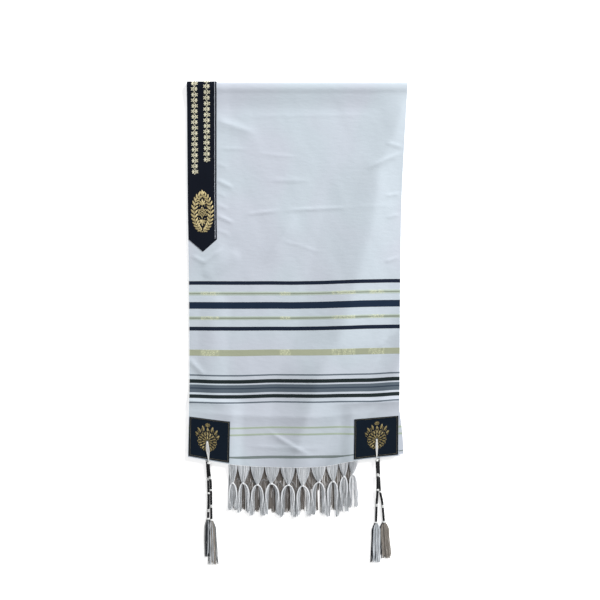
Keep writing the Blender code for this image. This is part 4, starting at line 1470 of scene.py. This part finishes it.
def yarn_runs(row, hem_y, count, chance):
    """Loose yarns that spread from the last knot."""
    last_knot = row["knots"][-1]
    root = stem_at(row, hem_y, last_knot)
    end_distance, end_x, half_width = row["end"]
    order = {tone: number for number, tone in enumerate(YARN_TONES, 2)}
    runs = []
    for number in range(count):
        across = 2 * (number + 0.5) / count - 1
        finish = next(name for limit, name in row["yarns"] if across <= limit)
        length = end_distance - last_knot - 0.009 * chance.random() ** 2
        share = np.linspace(0.0, 1.0, 12)
        layer = 0.0009 + 0.0026 * chance.random() * math.sqrt(1 - 0.8 * across * across)
        spread = mix(0.0022, half_width - 0.0008, smoothstep(-0.06, 0.20, share) * mix(0.90, 1.0, share))
        swing = math.tau * (share * mix(0.5, 1.2, chance.random()) + chance.random())
        sway = 0.0012 * share * np.sin(swing)
        x = mix(root[0], end_x, share) + across * spread + sway
        height = mix(root[2] + 0.0008 * (chance.random() - 0.5), layer, np.minimum(3.5 * share, 1.0))
        points = np.stack((x, root[1] - length * share, height), -1)
        radii = YARN_RADIUS * mix(0.7, 1.0, np.minimum(3 * share, 1.0))
        runs.append((points, radii, order[finish]))
    return runs


def make_tassel(name, row, finishes, chance):
    """A corner tassel: its loop, knots, windings and loose yarns."""
    hem_y = float(hem_point(row["stem"][0][1], row["upper"])[1])
    first_knot = stem_at(row, hem_y, row["stem"][0][0])
    runs = loop_runs(row, first_knot) + winding_runs(row, hem_y) + knot_runs(row, hem_y)
    runs += yarn_runs(row, hem_y, YARN_COUNT, chance)
    names = ("cord_white", "winding", *(f"yarn_{tone}" for tone in YARN_TONES))
    piece = thread_piece(f"cords_{name}", runs, [finishes[finish] for finish in names], resolution=1)
    enter(piece, "cord", f"tassel_{name}")


# Stage
def make_floor():
    """A pale plain floor."""
    bpy.ops.object.select_all(action="DESELECT")
    bpy.ops.mesh.primitive_plane_add(size=60, location=(0.0, 0.0, -0.0004))
    floor = bpy.context.object
    floor.name = "floor"
    paint = Paint("pale_floor", 0.9, specular=0.0)
    paint.set("Base Color", paint.tones("floor", "white", paint.noise(paint.place(), 1.5)))
    paint.set("Emission Color", screen_colour("white"))
    paint.set("Emission Strength", FLOOR_GLOW)
    floor.data.materials.append(paint.material)


def add_light(name, place, size, power):
    """A large soft lamp that points at the shawl."""
    lamp = bpy.data.lights.new(name, "AREA")
    lamp.shape = "SQUARE"
    lamp.size = size
    lamp.energy = power
    light = bpy.data.objects.new(name, lamp)
    light.location = place
    light.rotation_euler = light.location.to_track_quat("Z", "Y").to_euler()
    bpy.context.scene.collection.objects.link(light)


def make_lights():
    """A white room, a lamp beyond the fold at the right and a weaker one at the left."""
    bpy.context.scene.view_settings.view_transform = "Standard"
    world = bpy.data.worlds.new("studio")
    world.use_nodes = True
    backdrop = world.node_tree.nodes["Background"]
    backdrop.inputs["Color"].default_value = screen_colour("white")
    backdrop.inputs["Strength"].default_value = ROOM_STRENGTH
    bpy.context.scene.world = world
    for row in LIGHT_ROWS:
        add_light(*row)


def make_camera():
    """A camera straight above the shawl."""
    data = bpy.data.cameras.new("camera")
    data.sensor_width = SENSOR_WIDTH
    data.lens = SENSOR_WIDTH * CAMERA_PLACE[2] / VIEW_WIDTH
    camera = bpy.data.objects.new("camera", data)
    camera.location = CAMERA_PLACE
    bpy.context.scene.collection.objects.link(camera)
    bpy.context.scene.camera = camera


def make_finishes():
    """The finishes of sewn and wound pieces by name."""
    finishes = {name: make_embroidery_finish(name, metal) for name, metal in THREAD_METAL.items()}
    for name, streaks in YARN_STREAKS.items():
        finishes[name] = make_yarn_finish(name, streaks)
    return finishes


def main():
    """Builds the shawl and its stage."""
    make_camera()
    make_lights()
    make_floor()
    finishes = make_finishes()
    cloth = make_cloth()
    band = make_band(make_navy_finish("band"))
    patch_finish = make_navy_finish("patch")
    patches = {name: make_patch(name, row, patch_finish) for name, row in TASSEL_ROWS.items()}
    on_band, on_patches = make_embroidery(finishes)
    fringes = make_fringes(finishes)
    chance = np.random.default_rng(3)
    for name, row in TASSEL_ROWS.items():
        make_tassel(name, row, finishes, chance)


main()
